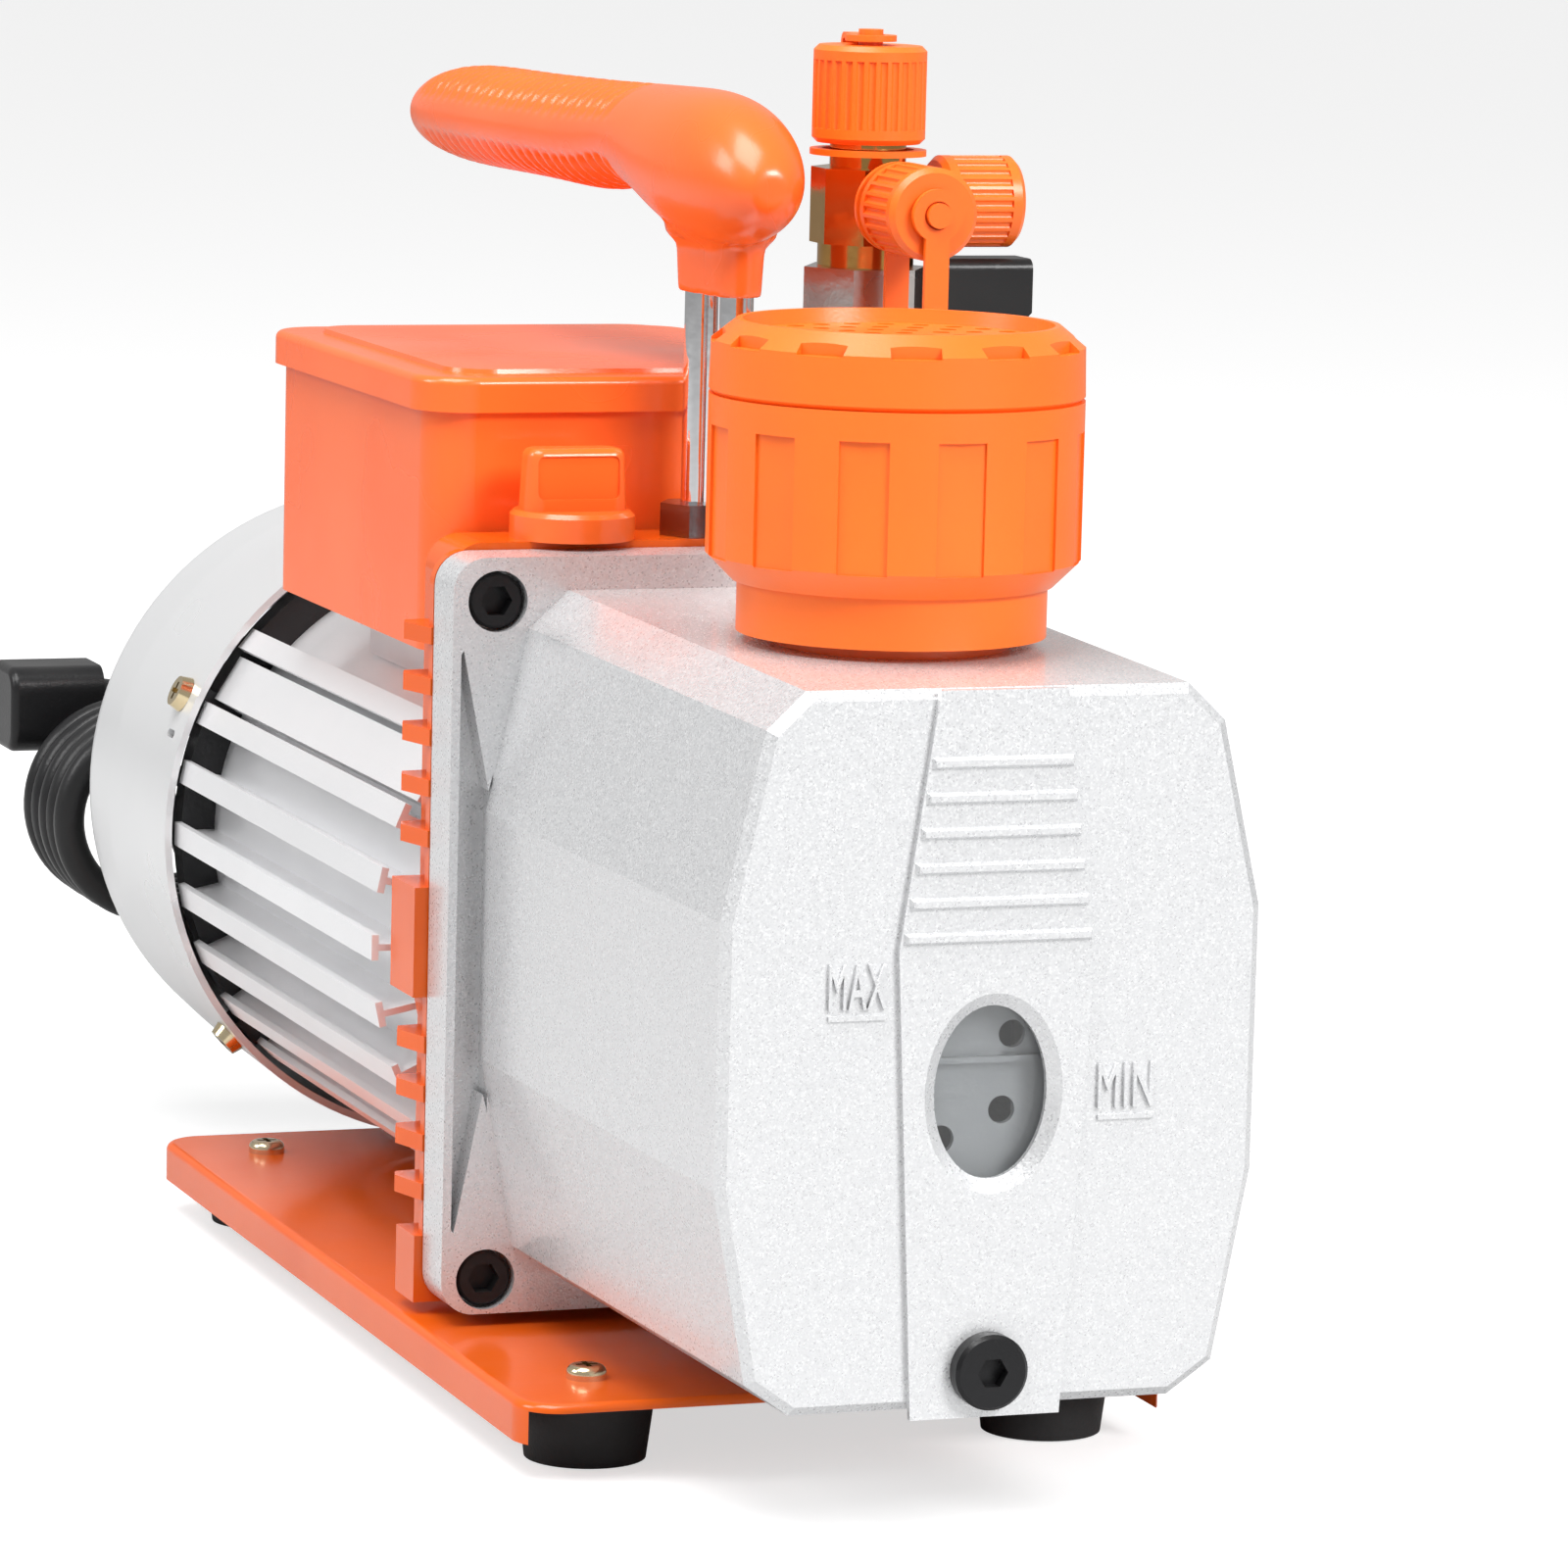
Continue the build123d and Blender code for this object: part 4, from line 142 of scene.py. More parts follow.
# %% Route of the lead
lead_d = 0.0064
gland_end = Vector((0.014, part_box("cord_gland")[1].y, 0.153))
lead_points = [
    gland_end,
    Vector((0.0144, 0.1146, 0.156)), Vector((0.0136, 0.1416, 0.156)),
    Vector((0.011, 0.1686, 0.150)), Vector((0.005, 0.1906, 0.134)),
    Vector((-0.003, 0.1996, 0.112)), Vector((-0.017, 0.1966, 0.093)),
]

hank_low, hank_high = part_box("cord_hank")
fold_r = (hank_high.z - hank_low.z) / 2 - lead_d / 2
fold_z = (hank_low.z + hank_high.z) / 2
fold_left = hank_low.x + fold_r + lead_d / 2
fold_right = hank_high.x - fold_r - lead_d / 2
first_y = hank_low.y + lead_d / 2
turns = 5
steps = 18
left_fold_steps = 7
right_fold_from = 9
right_fold_to = 16
fold_angle = 30
corner = fold_r / math.cos(math.radians(10))  # the spline cuts inside its control points


def hank_point(turn, step):
    """A control point of one turn: left fold, bottom run, right fold, top run."""
    y = first_y + lead_d * (turn + step / steps)
    if step < left_fold_steps:
        angle = math.radians(90 + fold_angle * step)
        return Vector((fold_left + corner * math.cos(angle), y, fold_z + corner * math.sin(angle)))
    if step < right_fold_from:
        x = fold_left + (fold_right - fold_left) * (step - left_fold_steps + 1) / 3
        return Vector((x, y, fold_z - fold_r))
    if step < right_fold_to:
        angle = math.radians(-90 + fold_angle * (step - right_fold_from))
        return Vector((fold_right + corner * math.cos(angle), y, fold_z + corner * math.sin(angle)))
    x = fold_right + (fold_left - fold_right) * (step - right_fold_to + 1) / 3
    return Vector((x, y, fold_z + fold_r))


route = list(lead_points)
for turn in range(turns):
    last = steps if turn < turns - 1 else right_fold_to
    route += [hank_point(turn, step) for step in range(last)]
plug_low, plug_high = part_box("cord_plug")
blade_len = 0.016
plug_entry = Vector((
    plug_high.x, (plug_low.y + plug_high.y - blade_len) / 2, (plug_low.z + plug_high.z) / 2,
))
tail_start = route[-1]
route.append(tail_start.lerp(plug_entry, 0.35) + Vector((0, -0.003, 0)))
route.append(plug_entry + Vector((0.014, -0.0015, 0)))
route.append(plug_entry + Vector((-0.002, 0, 0)))
print("route points", len(route))

# %% Lead as a curve
lead_data = bpy.data.curves.new("lead", "CURVE")
lead_data.dimensions = "3D"
spline = lead_data.splines.new("NURBS")
spline.points.add(len(route) - 1)
for point, place in zip(spline.points, route):
    point.co = (place.x, place.y, place.z, 1)
    point.radius = lead_d / 2
spline.order_u = 3
spline.use_endpoint_u = True
spline.resolution_u = 6
lead_data.bevel_depth = 1.0
lead_data.bevel_resolution = 5
lead_data.use_fill_caps = True
lead = bpy.data.objects.new("lead", lead_data)
bpy.context.scene.collection.objects.link(lead)
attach(lead, "pump")
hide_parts("cord_lead", "cord_hank")

bare_line = lead_data.copy()
bare_line.bevel_depth = 0
line_object = bpy.data.objects.new("line", bare_line)
bpy.context.scene.collection.objects.link(line_object)
line_mesh = bpy.data.meshes.new_from_object(line_object)
bpy.data.objects.remove(line_object)

# %% [markdown]
# ## Strain relief and tie
#
# A lead is held at the gland by a tapered rubber sleeve with rings that let it flex.
# It is a cone cut into rings and stepped in and out. The hank is held by a strap: a
# ring of faces around the upper and lower runs, thickened and rounded.

# %% Strain relief
start_clean()
sleeve_len = 0.026
sleeve_rings = 9
ring_squeeze = 0.84
bpy.ops.mesh.primitive_cone_add(
    vertices=32, radius1=0.0062, radius2=0.0041, depth=sleeve_len, end_fill_type="NOTHING",
    location=gland_end + Vector((0.0002, sleeve_len / 2 - 0.001, 0.0007)),
    rotation=(math.radians(-86), 0, 0),
)
sleeve = bpy.context.object
bpy.ops.object.mode_set(mode="EDIT")
bpy.ops.mesh.subdivide(number_cuts=sleeve_rings - 1)
bpy.ops.object.mode_set(mode="OBJECT")
for vertex in sleeve.data.vertices:
    ring = round((vertex.co.z + sleeve_len / 2) / sleeve_len * sleeve_rings)
    if ring % 2 == 1:
        vertex.co.x *= ring_squeeze
        vertex.co.y *= ring_squeeze
solid = sleeve.modifiers.new("wall", "SOLIDIFY")
solid.thickness = 0.0007
solid.offset = -1
bevel = sleeve.modifiers.new("edges", "BEVEL")
bevel.width = 0.0003
bevel.segments = 2
finish_modifiers(sleeve)
settle(sleeve, "strain_relief")
print("strain relief faces", len(sleeve.data.polygons))

# %% Hank tie
start_clean()
tie_x = 0.012
tie_width = 0.013
tie_slack = 0.0016
hank_back = first_y + lead_d * (turns + 0.6)
tie_mid = Vector((tie_x, (hank_low.y + hank_back) / 2, fold_z))
bpy.ops.mesh.primitive_cube_add(size=1, location=tie_mid)
tie = bpy.context.object
tie.scale = (tie_width, hank_back - hank_low.y + tie_slack, hank_high.z - hank_low.z + tie_slack)
bpy.ops.object.transform_apply(location=False, rotation=False, scale=True)
bpy.ops.object.mode_set(mode="EDIT")
pick_faces(lambda centre, normal: abs(normal.x) > 0.9)
bpy.ops.mesh.delete(type="FACE")
bpy.ops.object.mode_set(mode="OBJECT")
for name, kind in (("corners", "BEVEL"), ("wall", "SOLIDIFY"), ("edges", "BEVEL")):
    tie.modifiers.new(name, kind)
tie.modifiers["corners"].width = 0.004
tie.modifiers["corners"].segments = 6
tie.modifiers["wall"].thickness = 0.0014
tie.modifiers["wall"].offset = 1
tie.modifiers["edges"].width = 0.0004
tie.modifiers["edges"].segments = 2
finish_modifiers(tie)
settle(tie, "hank_tie")
print("tie faces", len(tie.data.polygons))

# %% [markdown]
# ## Level marks
#
# The two oil levels are named in raised letters on the face of the oil box, each over
# the line that the casting already has. Text is set upright, squeezed to the narrow
# form that moulds are cut with, given a little depth and turned into a mesh, so that it
# can be painted like the casting.


# %% Level marks
def level_mark(word, middle_x, foot_z, width, height):
    """Raised letters of a given width and height on the oil box face."""
    start_clean()
    bpy.ops.object.text_add(location=(0, 0, 0))
    letters = bpy.context.object
    letters.data.body = word
    letters.data.size = 0.01
    letters.data.space_character = 1.08
    letters.data.extrude = 0.00065
    letters.data.bevel_depth = 0.0001
    letters.data.resolution_u = 4
    bpy.ops.object.convert(target="MESH")
    letters = bpy.context.object
    spots = [v.co for v in letters.data.vertices]
    left = min(c.x for c in spots)
    foot = min(c.y for c in spots)
    wide = max(c.x for c in spots) - left
    tall = max(c.y for c in spots) - foot
    letters.scale = (width / wide, height / tall, 1)
    letters.rotation_euler = (math.radians(90), 0, 0)
    letters.location = (
        middle_x - width / 2 - left * width / wide, face_y, foot_z - foot * height / tall,
    )
    return settle(letters, "mark_" + word.lower())


face_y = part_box("drain_plug")[0].y + 0.0044
max_mark = level_mark("MAX", -0.0237, 0.0906, 0.0100, 0.0074)
min_mark = level_mark("MIN", 0.0233, 0.0728, 0.0098, 0.0074)
print("level marks", len(max_mark.data.polygons), len(min_mark.data.polygons))

# %% [markdown]
# ## Finger grooves of the handle
#
# The handle is a smooth moulded grip with slanting finger grooves above and below. The
# grooves are too fine for the CAD solid, so its surface is copied, remeshed into even
# small faces, and each point is pushed in by a wave that runs along the grip. The wave
# fades out at both ends and on the sides, where the real grip is smooth.

# %% Grooved grip
start_clean()
grip = bpy.data.objects.new("finger_grip", nodes["handle_grip"].data.copy())
bpy.context.scene.collection.objects.link(grip)
bpy.context.view_layer.objects.active = grip
grip.select_set(True)
bpy.ops.object.mode_set(mode="EDIT")
bpy.ops.mesh.select_all(action="SELECT")
bpy.ops.mesh.remove_doubles(threshold=0.00001)
bpy.ops.object.mode_set(mode="OBJECT")
grip.data.remesh_voxel_size = 0.0009
bpy.ops.object.voxel_remesh()
even = grip.modifiers.new("even", "SMOOTH")
even.factor = 0.5
even.iterations = 6
finish_modifiers(grip)

grip_low, grip_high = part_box("handle_grip")
grip_x = (grip_low.x + grip_high.x) / 2
groove_pitch = 0.0052
groove_depth = 0.0014
groove_slant = 0.45
fade_len = 0.008
grooves_from = grip_low.y + 0.058
grooves_to = grip_high.y - 0.016


def fade(value, low, high):
    """0 below low, 1 above high, smooth between."""
    share = min(max((value - low) / (high - low), 0), 1)
    return share * share * (3 - 2 * share)


normals = [v.normal.copy() for v in grip.data.vertices]
for vertex, normal in zip(grip.data.vertices, normals):
    along = vertex.co.y
    front_end = fade(along, grooves_from, grooves_from + fade_len)
    rear_end = fade(-along, -grooves_to, fade_len - grooves_to)
    ends = front_end * rear_end
    sides = fade(abs(normal.z), 0.30, 0.62)
    slanted = along + groove_slant * (vertex.co.x - grip_x)
    wave = 0.5 + 0.5 * math.cos(2 * math.pi * slanted / groove_pitch)
    vertex.co -= normal * groove_depth * ends * sides * wave ** 1.3
start_clean()
bpy.context.view_layer.objects.active = grip
grip.select_set(True)
bpy.ops.object.shade_smooth()
settle(grip, "finger_grip")
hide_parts("handle_grip")
print("grip faces", len(grip.data.polygons))

# %% [markdown]
# ## Shared effects
#
# Several finishes need the same things: fine grain, faint smears that change the
# gloss, and dust that settles on upward faces. Each is a node group with its own
# inputs, built once and placed in the materials that need it.


# %% Group helpers
def new_group(name, inputs, outputs):
    """A shader node group with float inputs and given outputs."""
    group = bpy.data.node_groups.new(name, "ShaderNodeTree")
    for label, value in inputs:
        socket = group.interface.new_socket(name=label, in_out="INPUT", socket_type="NodeSocketFloat")
        socket.default_value = value
    for label, kind in outputs:
        group.interface.new_socket(name=label, in_out="OUTPUT", socket_type=kind)
    group.nodes.new("NodeGroupInput")
    group.nodes.new("NodeGroupOutput")
    return group


def group_ends(group):
    ends = {n.bl_idname: n for n in group.nodes}
    return ends["NodeGroupInput"], ends["NodeGroupOutput"]


# %% Grain group
grain_group = new_group(
    "fine_grain", [("Scale", 900.0), ("Low", 0.3), ("High", 0.7)],
    [("Mask", "NodeSocketFloat")],
)
ends_in, ends_out = group_ends(grain_group)
place = grain_group.nodes.new("ShaderNodeTexCoord")
noise = grain_group.nodes.new("ShaderNodeTexNoise")
noise.inputs["Detail"].default_value = 2.0
spread = grain_group.nodes.new("ShaderNodeMapRange")
grain_group.links.new(place.outputs["Object"], noise.inputs["Vector"])
grain_group.links.new(ends_in.outputs["Scale"], noise.inputs["Scale"])
grain_group.links.new(noise.outputs["Fac"], spread.inputs["Value"])
grain_group.links.new(ends_in.outputs["Low"], spread.inputs["From Min"])
grain_group.links.new(ends_in.outputs["High"], spread.inputs["From Max"])
grain_group.links.new(spread.outputs["Result"], ends_out.inputs["Mask"])
print("grain group ready")

# %% Sparkle group
sparkle_group = new_group(
    "metal_flakes", [("Scale", 1400.0), ("Share", 0.35)],
    [("Mask", "NodeSocketFloat"), ("Tone", "NodeSocketFloat")],
)
ends_in, ends_out = group_ends(sparkle_group)
place = sparkle_group.nodes.new("ShaderNodeTexCoord")
cells = sparkle_group.nodes.new("ShaderNodeTexVoronoi")
pick = sparkle_group.nodes.new("ShaderNodeMath")
pick.operation = "LESS_THAN"
split = sparkle_group.nodes.new("ShaderNodeSeparateColor")
sparkle_group.links.new(place.outputs["Object"], cells.inputs["Vector"])
sparkle_group.links.new(ends_in.outputs["Scale"], cells.inputs["Scale"])
sparkle_group.links.new(cells.outputs["Color"], split.inputs["Color"])
sparkle_group.links.new(split.outputs["Red"], pick.inputs[0])
sparkle_group.links.new(ends_in.outputs["Share"], pick.inputs[1])
sparkle_group.links.new(pick.outputs["Value"], ends_out.inputs["Mask"])
sparkle_group.links.new(split.outputs["Green"], ends_out.inputs["Tone"])
print("flake group ready")

# %% Dust group
dust_group = new_group(
    "settled_dust", [("Amount", 0.25), ("Scale", 60.0)],
    [("Mask", "NodeSocketFloat")],
)
ends_in, ends_out = group_ends(dust_group)
place = dust_group.nodes.new("ShaderNodeTexCoord")
noise = dust_group.nodes.new("ShaderNodeTexNoise")
noise.inputs["Detail"].default_value = 6.0
surface = dust_group.nodes.new("ShaderNodeNewGeometry")
split = dust_group.nodes.new("ShaderNodeSeparateXYZ")
upward = dust_group.nodes.new("ShaderNodeMapRange")
upward.inputs["From Min"].default_value = 0.3
blotch = dust_group.nodes.new("ShaderNodeMapRange")
blotch.inputs["From Min"].default_value = 0.42
blotch.inputs["From Max"].default_value = 0.72
both = dust_group.nodes.new("ShaderNodeMath")
both.operation = "MULTIPLY"
total = dust_group.nodes.new("ShaderNodeMath")
total.operation = "MULTIPLY"
dust_group.links.new(place.outputs["Object"], noise.inputs["Vector"])
dust_group.links.new(ends_in.outputs["Scale"], noise.inputs["Scale"])
dust_group.links.new(surface.outputs["Normal"], split.inputs["Vector"])
dust_group.links.new(split.outputs["Z"], upward.inputs["Value"])
dust_group.links.new(noise.outputs["Fac"], blotch.inputs["Value"])
dust_group.links.new(upward.outputs["Result"], both.inputs[0])
dust_group.links.new(blotch.outputs["Result"], both.inputs[1])
dust_group.links.new(both.outputs["Value"], total.inputs[0])
dust_group.links.new(ends_in.outputs["Amount"], total.inputs[1])
dust_group.links.new(total.outputs["Value"], ends_out.inputs["Mask"])
print("dust group ready")

# %% [markdown]
# ## One recipe for most finishes
#
# Paint, plastic and rubber differ in colour, gloss and grain, so one helper builds
# them: two close colours mixed by slow noise, gloss varied by the grain group, a fine
# bump, and dust on top faces. The fixed values go straight on the shader's sockets.


# %% Finish helper
def blank_material(name):
    material = bpy.data.materials.new(name)
    material.use_nodes = True
    tree = material.node_tree
    return material, tree.nodes, tree.links, tree.nodes["Principled BSDF"]


def mix_colours(tree_nodes, links, mask, low, high):
    """A colour mix between two colours by a mask socket."""
    mix = tree_nodes.new("ShaderNodeMix")
    mix.data_type = "RGBA"
    links.new(mask, mix.inputs["Factor"])
    for socket, value in ((mix.inputs[6], low), (mix.inputs[7], high)):  # colour sockets A and B
        if hasattr(value, "is_linked"):
            links.new(value, socket)
        else:
            socket.default_value = (*value, 1)
    return mix.outputs[2]


def finish(name, colour, second, rough, rough_spread, grain, bump, metallic=0.0, coat=0.0, dust=0.08,
           specular=0.5, subsurface=0.0):
    """Paint, plastic, metal or rubber with varied colour and gloss, grain and dust."""
    material, tree_nodes, links, shader = blank_material(name)
    slow = tree_nodes.new("ShaderNodeGroup")
    slow.node_tree = grain_group
    slow.inputs["Scale"].default_value = 28.0
    fine = tree_nodes.new("ShaderNodeGroup")
    fine.node_tree = grain_group
    fine.inputs["Scale"].default_value = grain
    dusty = tree_nodes.new("ShaderNodeGroup")
    dusty.node_tree = dust_group
    dusty.inputs["Amount"].default_value = dust
    base = mix_colours(tree_nodes, links, slow.outputs["Mask"], colour, second)
    top = mix_colours(tree_nodes, links, dusty.outputs["Mask"], base, (0.62, 0.60, 0.57))
    links.new(top, shader.inputs["Base Color"])
    gloss = tree_nodes.new("ShaderNodeMapRange")
    gloss.inputs["To Min"].default_value = rough - rough_spread
    gloss.inputs["To Max"].default_value = rough + rough_spread
    links.new(slow.outputs["Mask"], gloss.inputs["Value"])
    links.new(gloss.outputs["Result"], shader.inputs["Roughness"])
    relief = tree_nodes.new("ShaderNodeBump")
    relief.inputs["Strength"].default_value = bump
    relief.inputs["Distance"].default_value = 0.0002
    links.new(fine.outputs["Mask"], relief.inputs["Height"])
    links.new(relief.outputs["Normal"], shader.inputs["Normal"])
    shader.inputs["Metallic"].default_value = metallic
    shader.inputs["Coat Weight"].default_value = coat
    shader.inputs["Coat Roughness"].default_value = 0.06
    shader.inputs["Specular IOR Level"].default_value = specular
    shader.inputs["Subsurface Weight"].default_value = subsurface
    shader.inputs["Subsurface Radius"].default_value = (0.004, 0.0012, 0.0005)
    return material


orange_paint = finish(
    "orange_paint", (0.76, 0.112, 0.004), (0.68, 0.092, 0.003),
    0.20, 0.05, 700, 0.04, coat=0.15, dust=0.02, specular=0.35,
)
orange_plastic = finish(
    "orange_plastic", (0.93, 0.165, 0.012), (0.88, 0.142, 0.009),
    0.34, 0.05, 1500, 0.05, dust=0.02, subsurface=0.10,
)
shiny_plastic = finish(
    "shiny_plastic", (0.90, 0.140, 0.020), (0.86, 0.122, 0.016),
    0.26, 0.04, 1100, 0.03, dust=0.0, coat=0.1,
)
motor_metal = finish(
    "motor_metal", (0.90, 0.90, 0.91), (0.85, 0.85, 0.86),
    0.36, 0.05, 1200, 0.08, metallic=0.55,
)
cover_paint = finish(
    "cover_paint", (0.82, 0.825, 0.83), (0.80, 0.805, 0.81),
    0.30, 0.03, 1600, 0.02, metallic=0.50, coat=0.15, dust=0.0,
)
black_paint = finish(
    "black_paint", (0.014, 0.014, 0.015), (0.022, 0.022, 0.023),
    0.40, 0.08, 900, 0.15, specular=0.28,
)
black_plastic = finish(
    "black_plastic", (0.010, 0.010, 0.011), (0.018, 0.018, 0.018),
    0.30, 0.06, 1100, 0.08, dust=0.02, specular=0.28,
)
grey_plastic = finish(
    "grey_plastic", (0.46, 0.47, 0.48), (0.41, 0.42, 0.43),
    0.45, 0.08, 900, 0.10,
)
brass = finish(
    "brass", (0.72, 0.42, 0.13), (0.60, 0.32, 0.09),
    0.14, 0.06, 500, 0.05, metallic=1.0, dust=0.0,
)
nickel = finish(
    "nickel", (0.62, 0.58, 0.55), (0.55, 0.51, 0.48),
    0.22, 0.06, 900, 0.08, metallic=1.0, dust=0.0,
)
post_chrome = finish(
    "post_chrome", (0.88, 0.88, 0.89), (0.82, 0.82, 0.83),
    0.06, 0.02, 400, 0.02, metallic=1.0, dust=0.0,
)
dark_nut = finish(
    "dark_nut", (0.30, 0.30, 0.31), (0.22, 0.22, 0.23),
    0.25, 0.08, 900, 0.10, metallic=1.0,
)
black_steel = finish(
    "black_steel", (0.012, 0.012, 0.013), (0.020, 0.020, 0.021),
    0.30, 0.08, 1200, 0.10, metallic=0.4, specular=0.28,
)
gold_screw = finish(
    "gold_screw", (0.78, 0.64, 0.38), (0.70, 0.60, 0.42),
    0.18, 0.06, 600, 0.05, metallic=1.0, dust=0.0,
)
steel = finish(
    "steel", (0.56, 0.56, 0.57), (0.48, 0.48, 0.49),
    0.28, 0.08, 800, 0.10, metallic=1.0,
)
iron = finish("iron", (0.22, 0.22, 0.23), (0.16, 0.16, 0.17), 0.52, 0.10, 700, 0.30, metallic=0.8)
copper = finish(
    "copper", (0.70, 0.32, 0.16), (0.55, 0.24, 0.11),
    0.32, 0.08, 1500, 0.30, metallic=0.9,
)
rubber = finish(
    "rubber", (0.014, 0.014, 0.015), (0.022, 0.021, 0.021),
    0.58, 0.10, 1300, 0.20, dust=0.12, specular=0.28,
)
lead_skin = finish(
    "lead_skin", (0.010, 0.010, 0.011), (0.016, 0.016, 0.016),
    0.34, 0.06, 1600, 0.10, dust=0.02, specular=0.28,
)
filter_media = finish(
    "filter_media", (0.72, 0.68, 0.58), (0.62, 0.58, 0.48),
    0.85, 0.08, 500, 0.6,
)
print("finishes built")

# %% [markdown]
# ## Silver flake paint
#
# The oil box wears a metallic paint with flakes coarse enough to see. The flake group
# gives every flake its own tone, which sets how light and how glossy it is, and its
# mask evens out a share of them. A fine bump and a thin clear coat lie over it.

# %% Silver flake paint
silver_paint, tree_nodes, links, shader = blank_material("silver_paint")
flakes = tree_nodes.new("ShaderNodeGroup")
flakes.node_tree = sparkle_group
flakes.inputs["Scale"].default_value = 3200
flakes.inputs["Share"].default_value = 0.45
fine = tree_nodes.new("ShaderNodeGroup")
fine.node_tree = grain_group
fine.inputs["Scale"].default_value = 2400
specks = mix_colours(tree_nodes, links, flakes.outputs["Tone"], (0.57, 0.575, 0.585), (0.76, 0.765, 0.77))
evened = mix_colours(tree_nodes, links, flakes.outputs["Mask"], specks, (0.66, 0.665, 0.675))
links.new(evened, shader.inputs["Base Color"])
gloss = tree_nodes.new("ShaderNodeMapRange")
gloss.inputs["To Min"].default_value = 0.26
gloss.inputs["To Max"].default_value = 0.46
links.new(flakes.outputs["Tone"], gloss.inputs["Value"])
links.new(gloss.outputs["Result"], shader.inputs["Roughness"])
relief = tree_nodes.new("ShaderNodeBump")
relief.inputs["Strength"].default_value = 0.14
relief.inputs["Distance"].default_value = 0.00015
links.new(fine.outputs["Mask"], relief.inputs["Height"])
links.new(relief.outputs["Normal"], shader.inputs["Normal"])
shader.inputs["Metallic"].default_value = 0.50
shader.inputs["Coat Weight"].default_value = 0.40
shader.inputs["Coat Roughness"].default_value = 0.12
print("silver paint ready")

# %% [markdown]
# ## Sight glass
#
# Clear plastic glass: full transmission, a low roughness and a slight tint. Fine
# grain in the roughness keeps it from looking like an empty hole.

# %% Sight glass
sight_glass, tree_nodes, links, shader = blank_material("sight_glass")
haze = tree_nodes.new("ShaderNodeGroup")
haze.node_tree = grain_group
haze.inputs["Scale"].default_value = 120
gloss = tree_nodes.new("ShaderNodeMapRange")
gloss.inputs["To Min"].default_value = 0.02
gloss.inputs["To Max"].default_value = 0.09
links.new(haze.outputs["Mask"], gloss.inputs["Value"])
links.new(gloss.outputs["Result"], shader.inputs["Roughness"])
shader.inputs["Base Color"].default_value = (0.96, 0.975, 0.98, 1)
shader.inputs["Transmission Weight"].default_value = 1.0
shader.inputs["IOR"].default_value = 1.47
print("sight glass ready")

# %% [markdown]
# ## Painting the parts
#
# Every part now gets its finish. The names on the left are the parts of the frame.

# %% Paint the parts
painted = {
    "orange_paint": (orange_paint, ["base_plate", "pump_body"]),
    "silver_paint": (silver_paint, ["oil_box"]),
    "orange_plastic": (orange_plastic, [
        "filter_housing", "filter_cap", "top_cap", "front_cap", "side_cap", "top_strap", "front_strap",
    ]),
    "shiny_plastic": (shiny_plastic, ["terminal_box", "terminal_lid", "filler_cap", "handle_grip"]),
    "motor_metal": (motor_metal, ["motor_housing"]),
    "cover_paint": (cover_paint, ["fan_cover"]),
    "black_paint": (black_paint, ["rear_shield"]),
    "black_plastic": (black_plastic, [
        "fan", "valve_lever", "switch_frame", "switch_rocker", "cord_gland", "vanes",
    ]),
    "grey_plastic": (grey_plastic, ["sight_glass_baffle", "capacitor", "terminal_block"]),
    "brass": (brass, ["inlet_tee"]),
    "nickel": (nickel, ["valve_body"]),
    "post_chrome": (post_chrome, ["handle_posts", "valve_ball"]),
    "dark_nut": (dark_nut, ["post_nut"]),
    "black_steel": (black_steel, ["oil_box_bolts", "drain_plug", "pump_screws"]),
    "gold_screw": (gold_screw, ["foot_screws", "cover_screws"]),
    "steel": (steel, [
        "body_bolts", "vane_springs", "exhaust_flap", "ball_bearings", "motor_shaft", "motor_rotor",
        "stator_core", "tie_bolts",
    ]),
    "iron": (iron, ["pump_cylinder", "pump_end_plate", "pump_rotor"]),
    "copper": (copper, ["windings"]),
    "rubber": (rubber, [
        "rubber_feet", "oil_box_gasket", "drain_seal", "shaft_seal", "filler_seal", "side_cap_seal",
    ]),
    "filter_media": (filter_media, ["filter_element"]),
    "glass": (sight_glass, ["sight_glass"]),
    "cord_black": (lead_skin, ["cord_plug"]),
}
for material, parts in painted.values():
    for part in parts:
        nodes[part].data.materials.clear()
        nodes[part].data.materials.append(material)
bare = [n for n in nodes if n not in {p for _, parts in painted.values() for p in parts}]
for piece, material, slot in (
    (lead, lead_skin, "cord_black"), (sleeve, rubber, "cord_black"), (tie, rubber, "rubber"),
    (max_mark, silver_paint, "silver_paint"), (min_mark, silver_paint, "silver_paint"),
    (grip, shiny_plastic, "orange_plastic"),
):
    piece.data.materials.clear()
    piece.data.materials.append(material)
print("painted; hidden under the lead:", bare)

# %% [markdown]
# ## Floor and lights
#
# A pale floor and three large soft lights give the clean look of a product picture:
# one over the top, one from the upper left and one from the front on the right.
# The floor throws back half of the light, so that undersides stay in shade, and glows a
# little where the camera sees it, so that it still looks white.

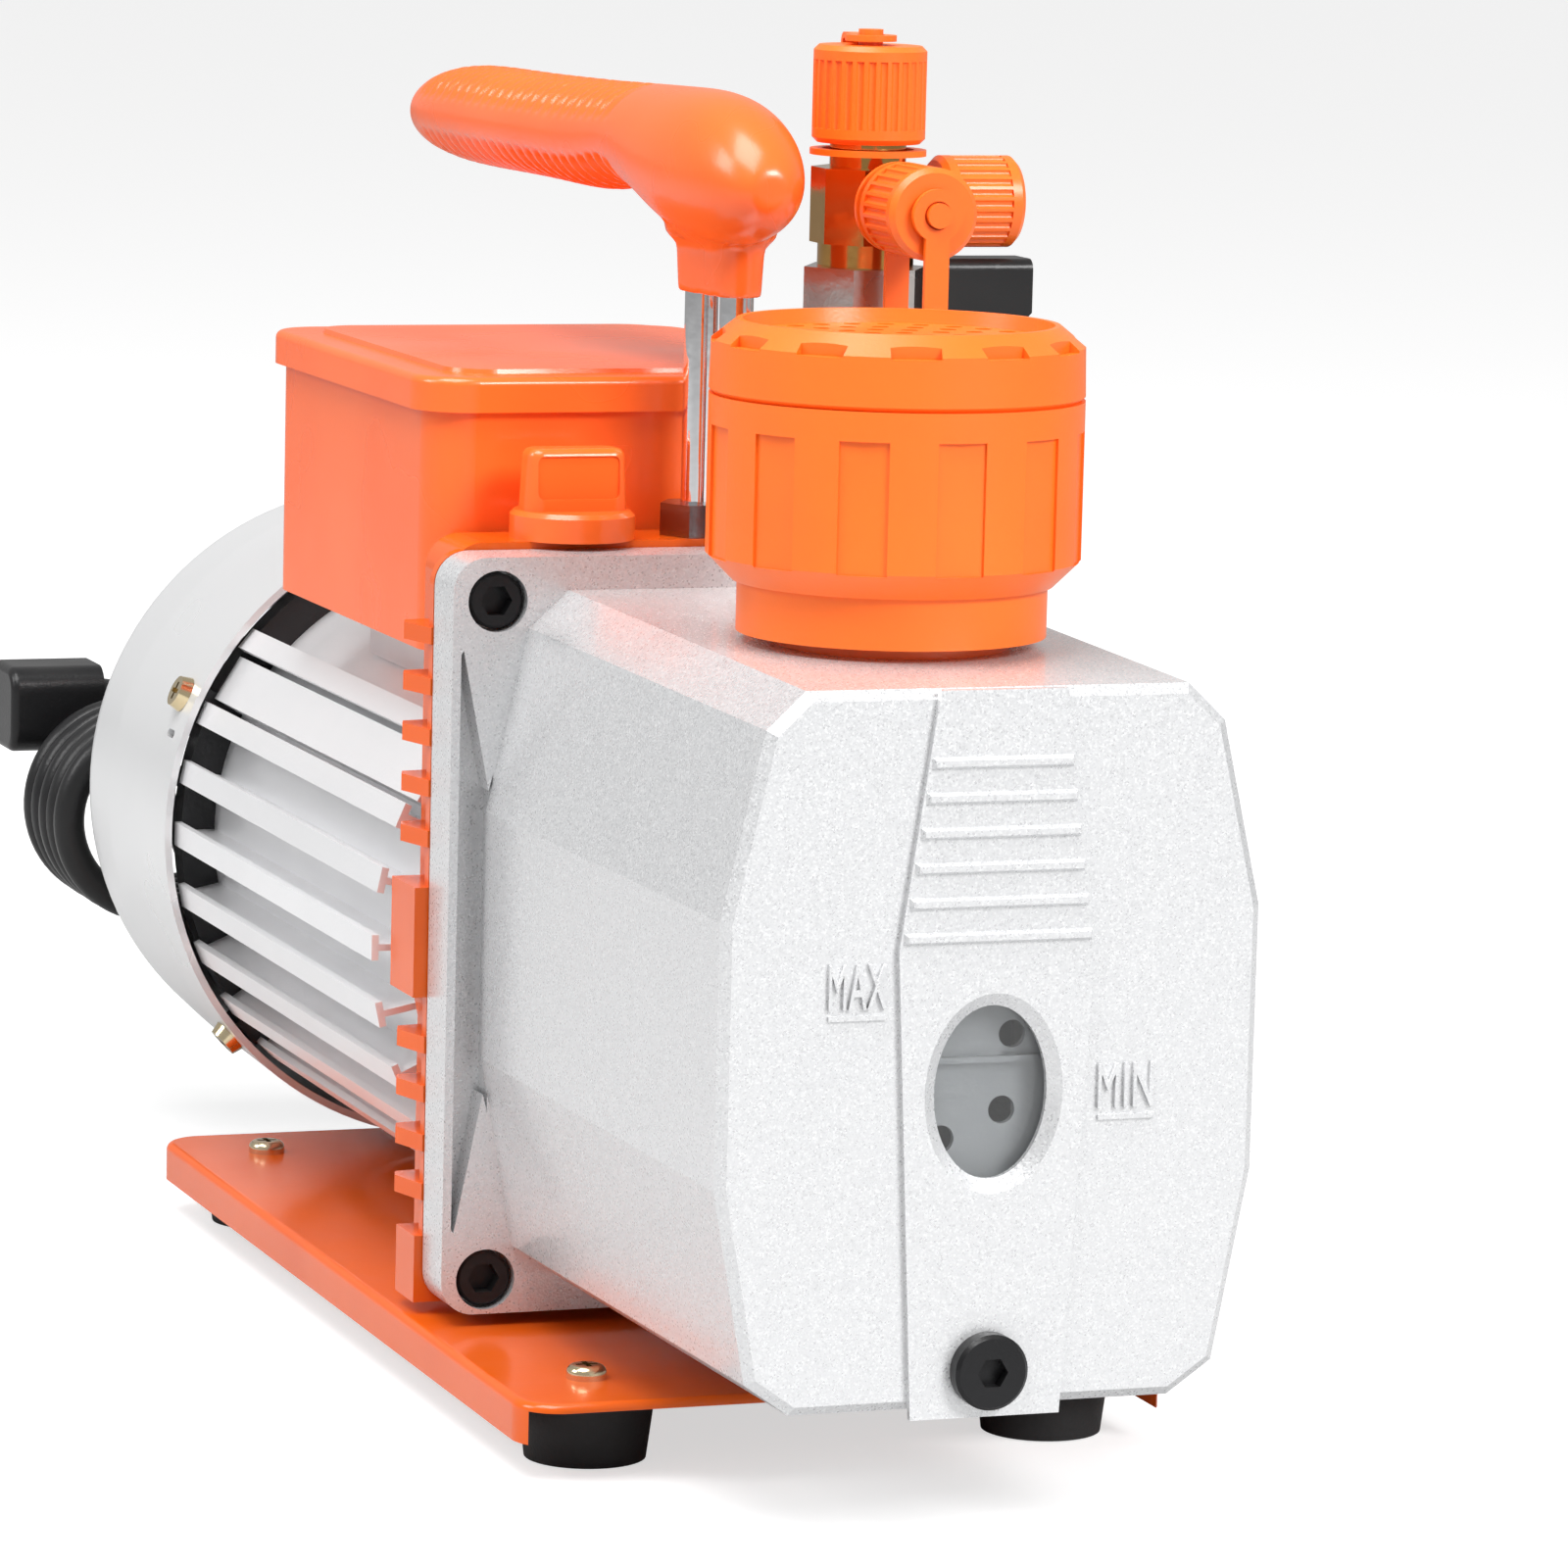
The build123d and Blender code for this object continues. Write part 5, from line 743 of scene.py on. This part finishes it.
# %% Floor
start_clean()
bpy.ops.mesh.primitive_plane_add(size=14, location=(0, 0, -0.0002))
floor = bpy.context.object
floor.name = "floor"
floor_paint, tree_nodes, links, shader = blank_material("floor_paint")
shader.inputs["Base Color"].default_value = (0.50, 0.50, 0.50, 1)
shader.inputs["Roughness"].default_value = 0.6
shader.inputs["Emission Color"].default_value = (1, 1, 1, 1)
seen = tree_nodes.new("ShaderNodeLightPath")
glow = tree_nodes.new("ShaderNodeMath")
glow.operation = "MULTIPLY"
glow.inputs[1].default_value = 0.62
links.new(seen.outputs["Is Camera Ray"], glow.inputs[0])
links.new(glow.outputs["Value"], shader.inputs["Emission Strength"])
floor.data.materials.append(floor_paint)
print("floor laid")


# %% Lights
def soft_light(name, place, aim, size, power):
    """A square area light that looks at a point."""
    bpy.ops.object.light_add(type="AREA", location=place)
    light = bpy.context.object
    light.name = name
    light.data.shape = "RECTANGLE"
    light.data.size = size[0]
    light.data.size_y = size[1]
    light.data.energy = power
    light.rotation_euler = (Vector(aim) - Vector(place)).to_track_quat("-Z", "Y").to_euler()
    return light


middle = (0, 0, 0.11)
soft_light("top_light", (-0.5, -0.3, 1.6), middle, (1.1, 1.1), 32)
soft_light("left_light", (-1.7, 0.3, 1.2), middle, (0.8, 0.8), 15)
soft_light("front_light", (0.75, -1.6, 1.25), middle, (0.7, 0.6), 36)
world = bpy.data.worlds.new("studio")
bpy.context.scene.world = world
world.use_nodes = True
sky = world.node_tree.nodes["Background"]
sky.inputs["Color"].default_value = (1, 1, 1, 1)
sky.inputs["Strength"].default_value = 0.44
backdrop = world.node_tree.nodes.new("ShaderNodeBackground")
backdrop.inputs["Color"].default_value = (1, 1, 1, 1)
backdrop.inputs["Strength"].default_value = 1.0
seen = world.node_tree.nodes.new("ShaderNodeLightPath")
either = world.node_tree.nodes.new("ShaderNodeMixShader")
world_links = world.node_tree.links
world_links.new(seen.outputs["Is Camera Ray"], either.inputs["Fac"])
world_links.new(sky.outputs["Background"], either.inputs[1])
world_links.new(backdrop.outputs["Background"], either.inputs[2])
world_links.new(either.outputs["Shader"], world.node_tree.nodes["World Output"].inputs["Surface"])
bpy.context.scene.view_settings.view_transform = "Standard"
print("lights set")
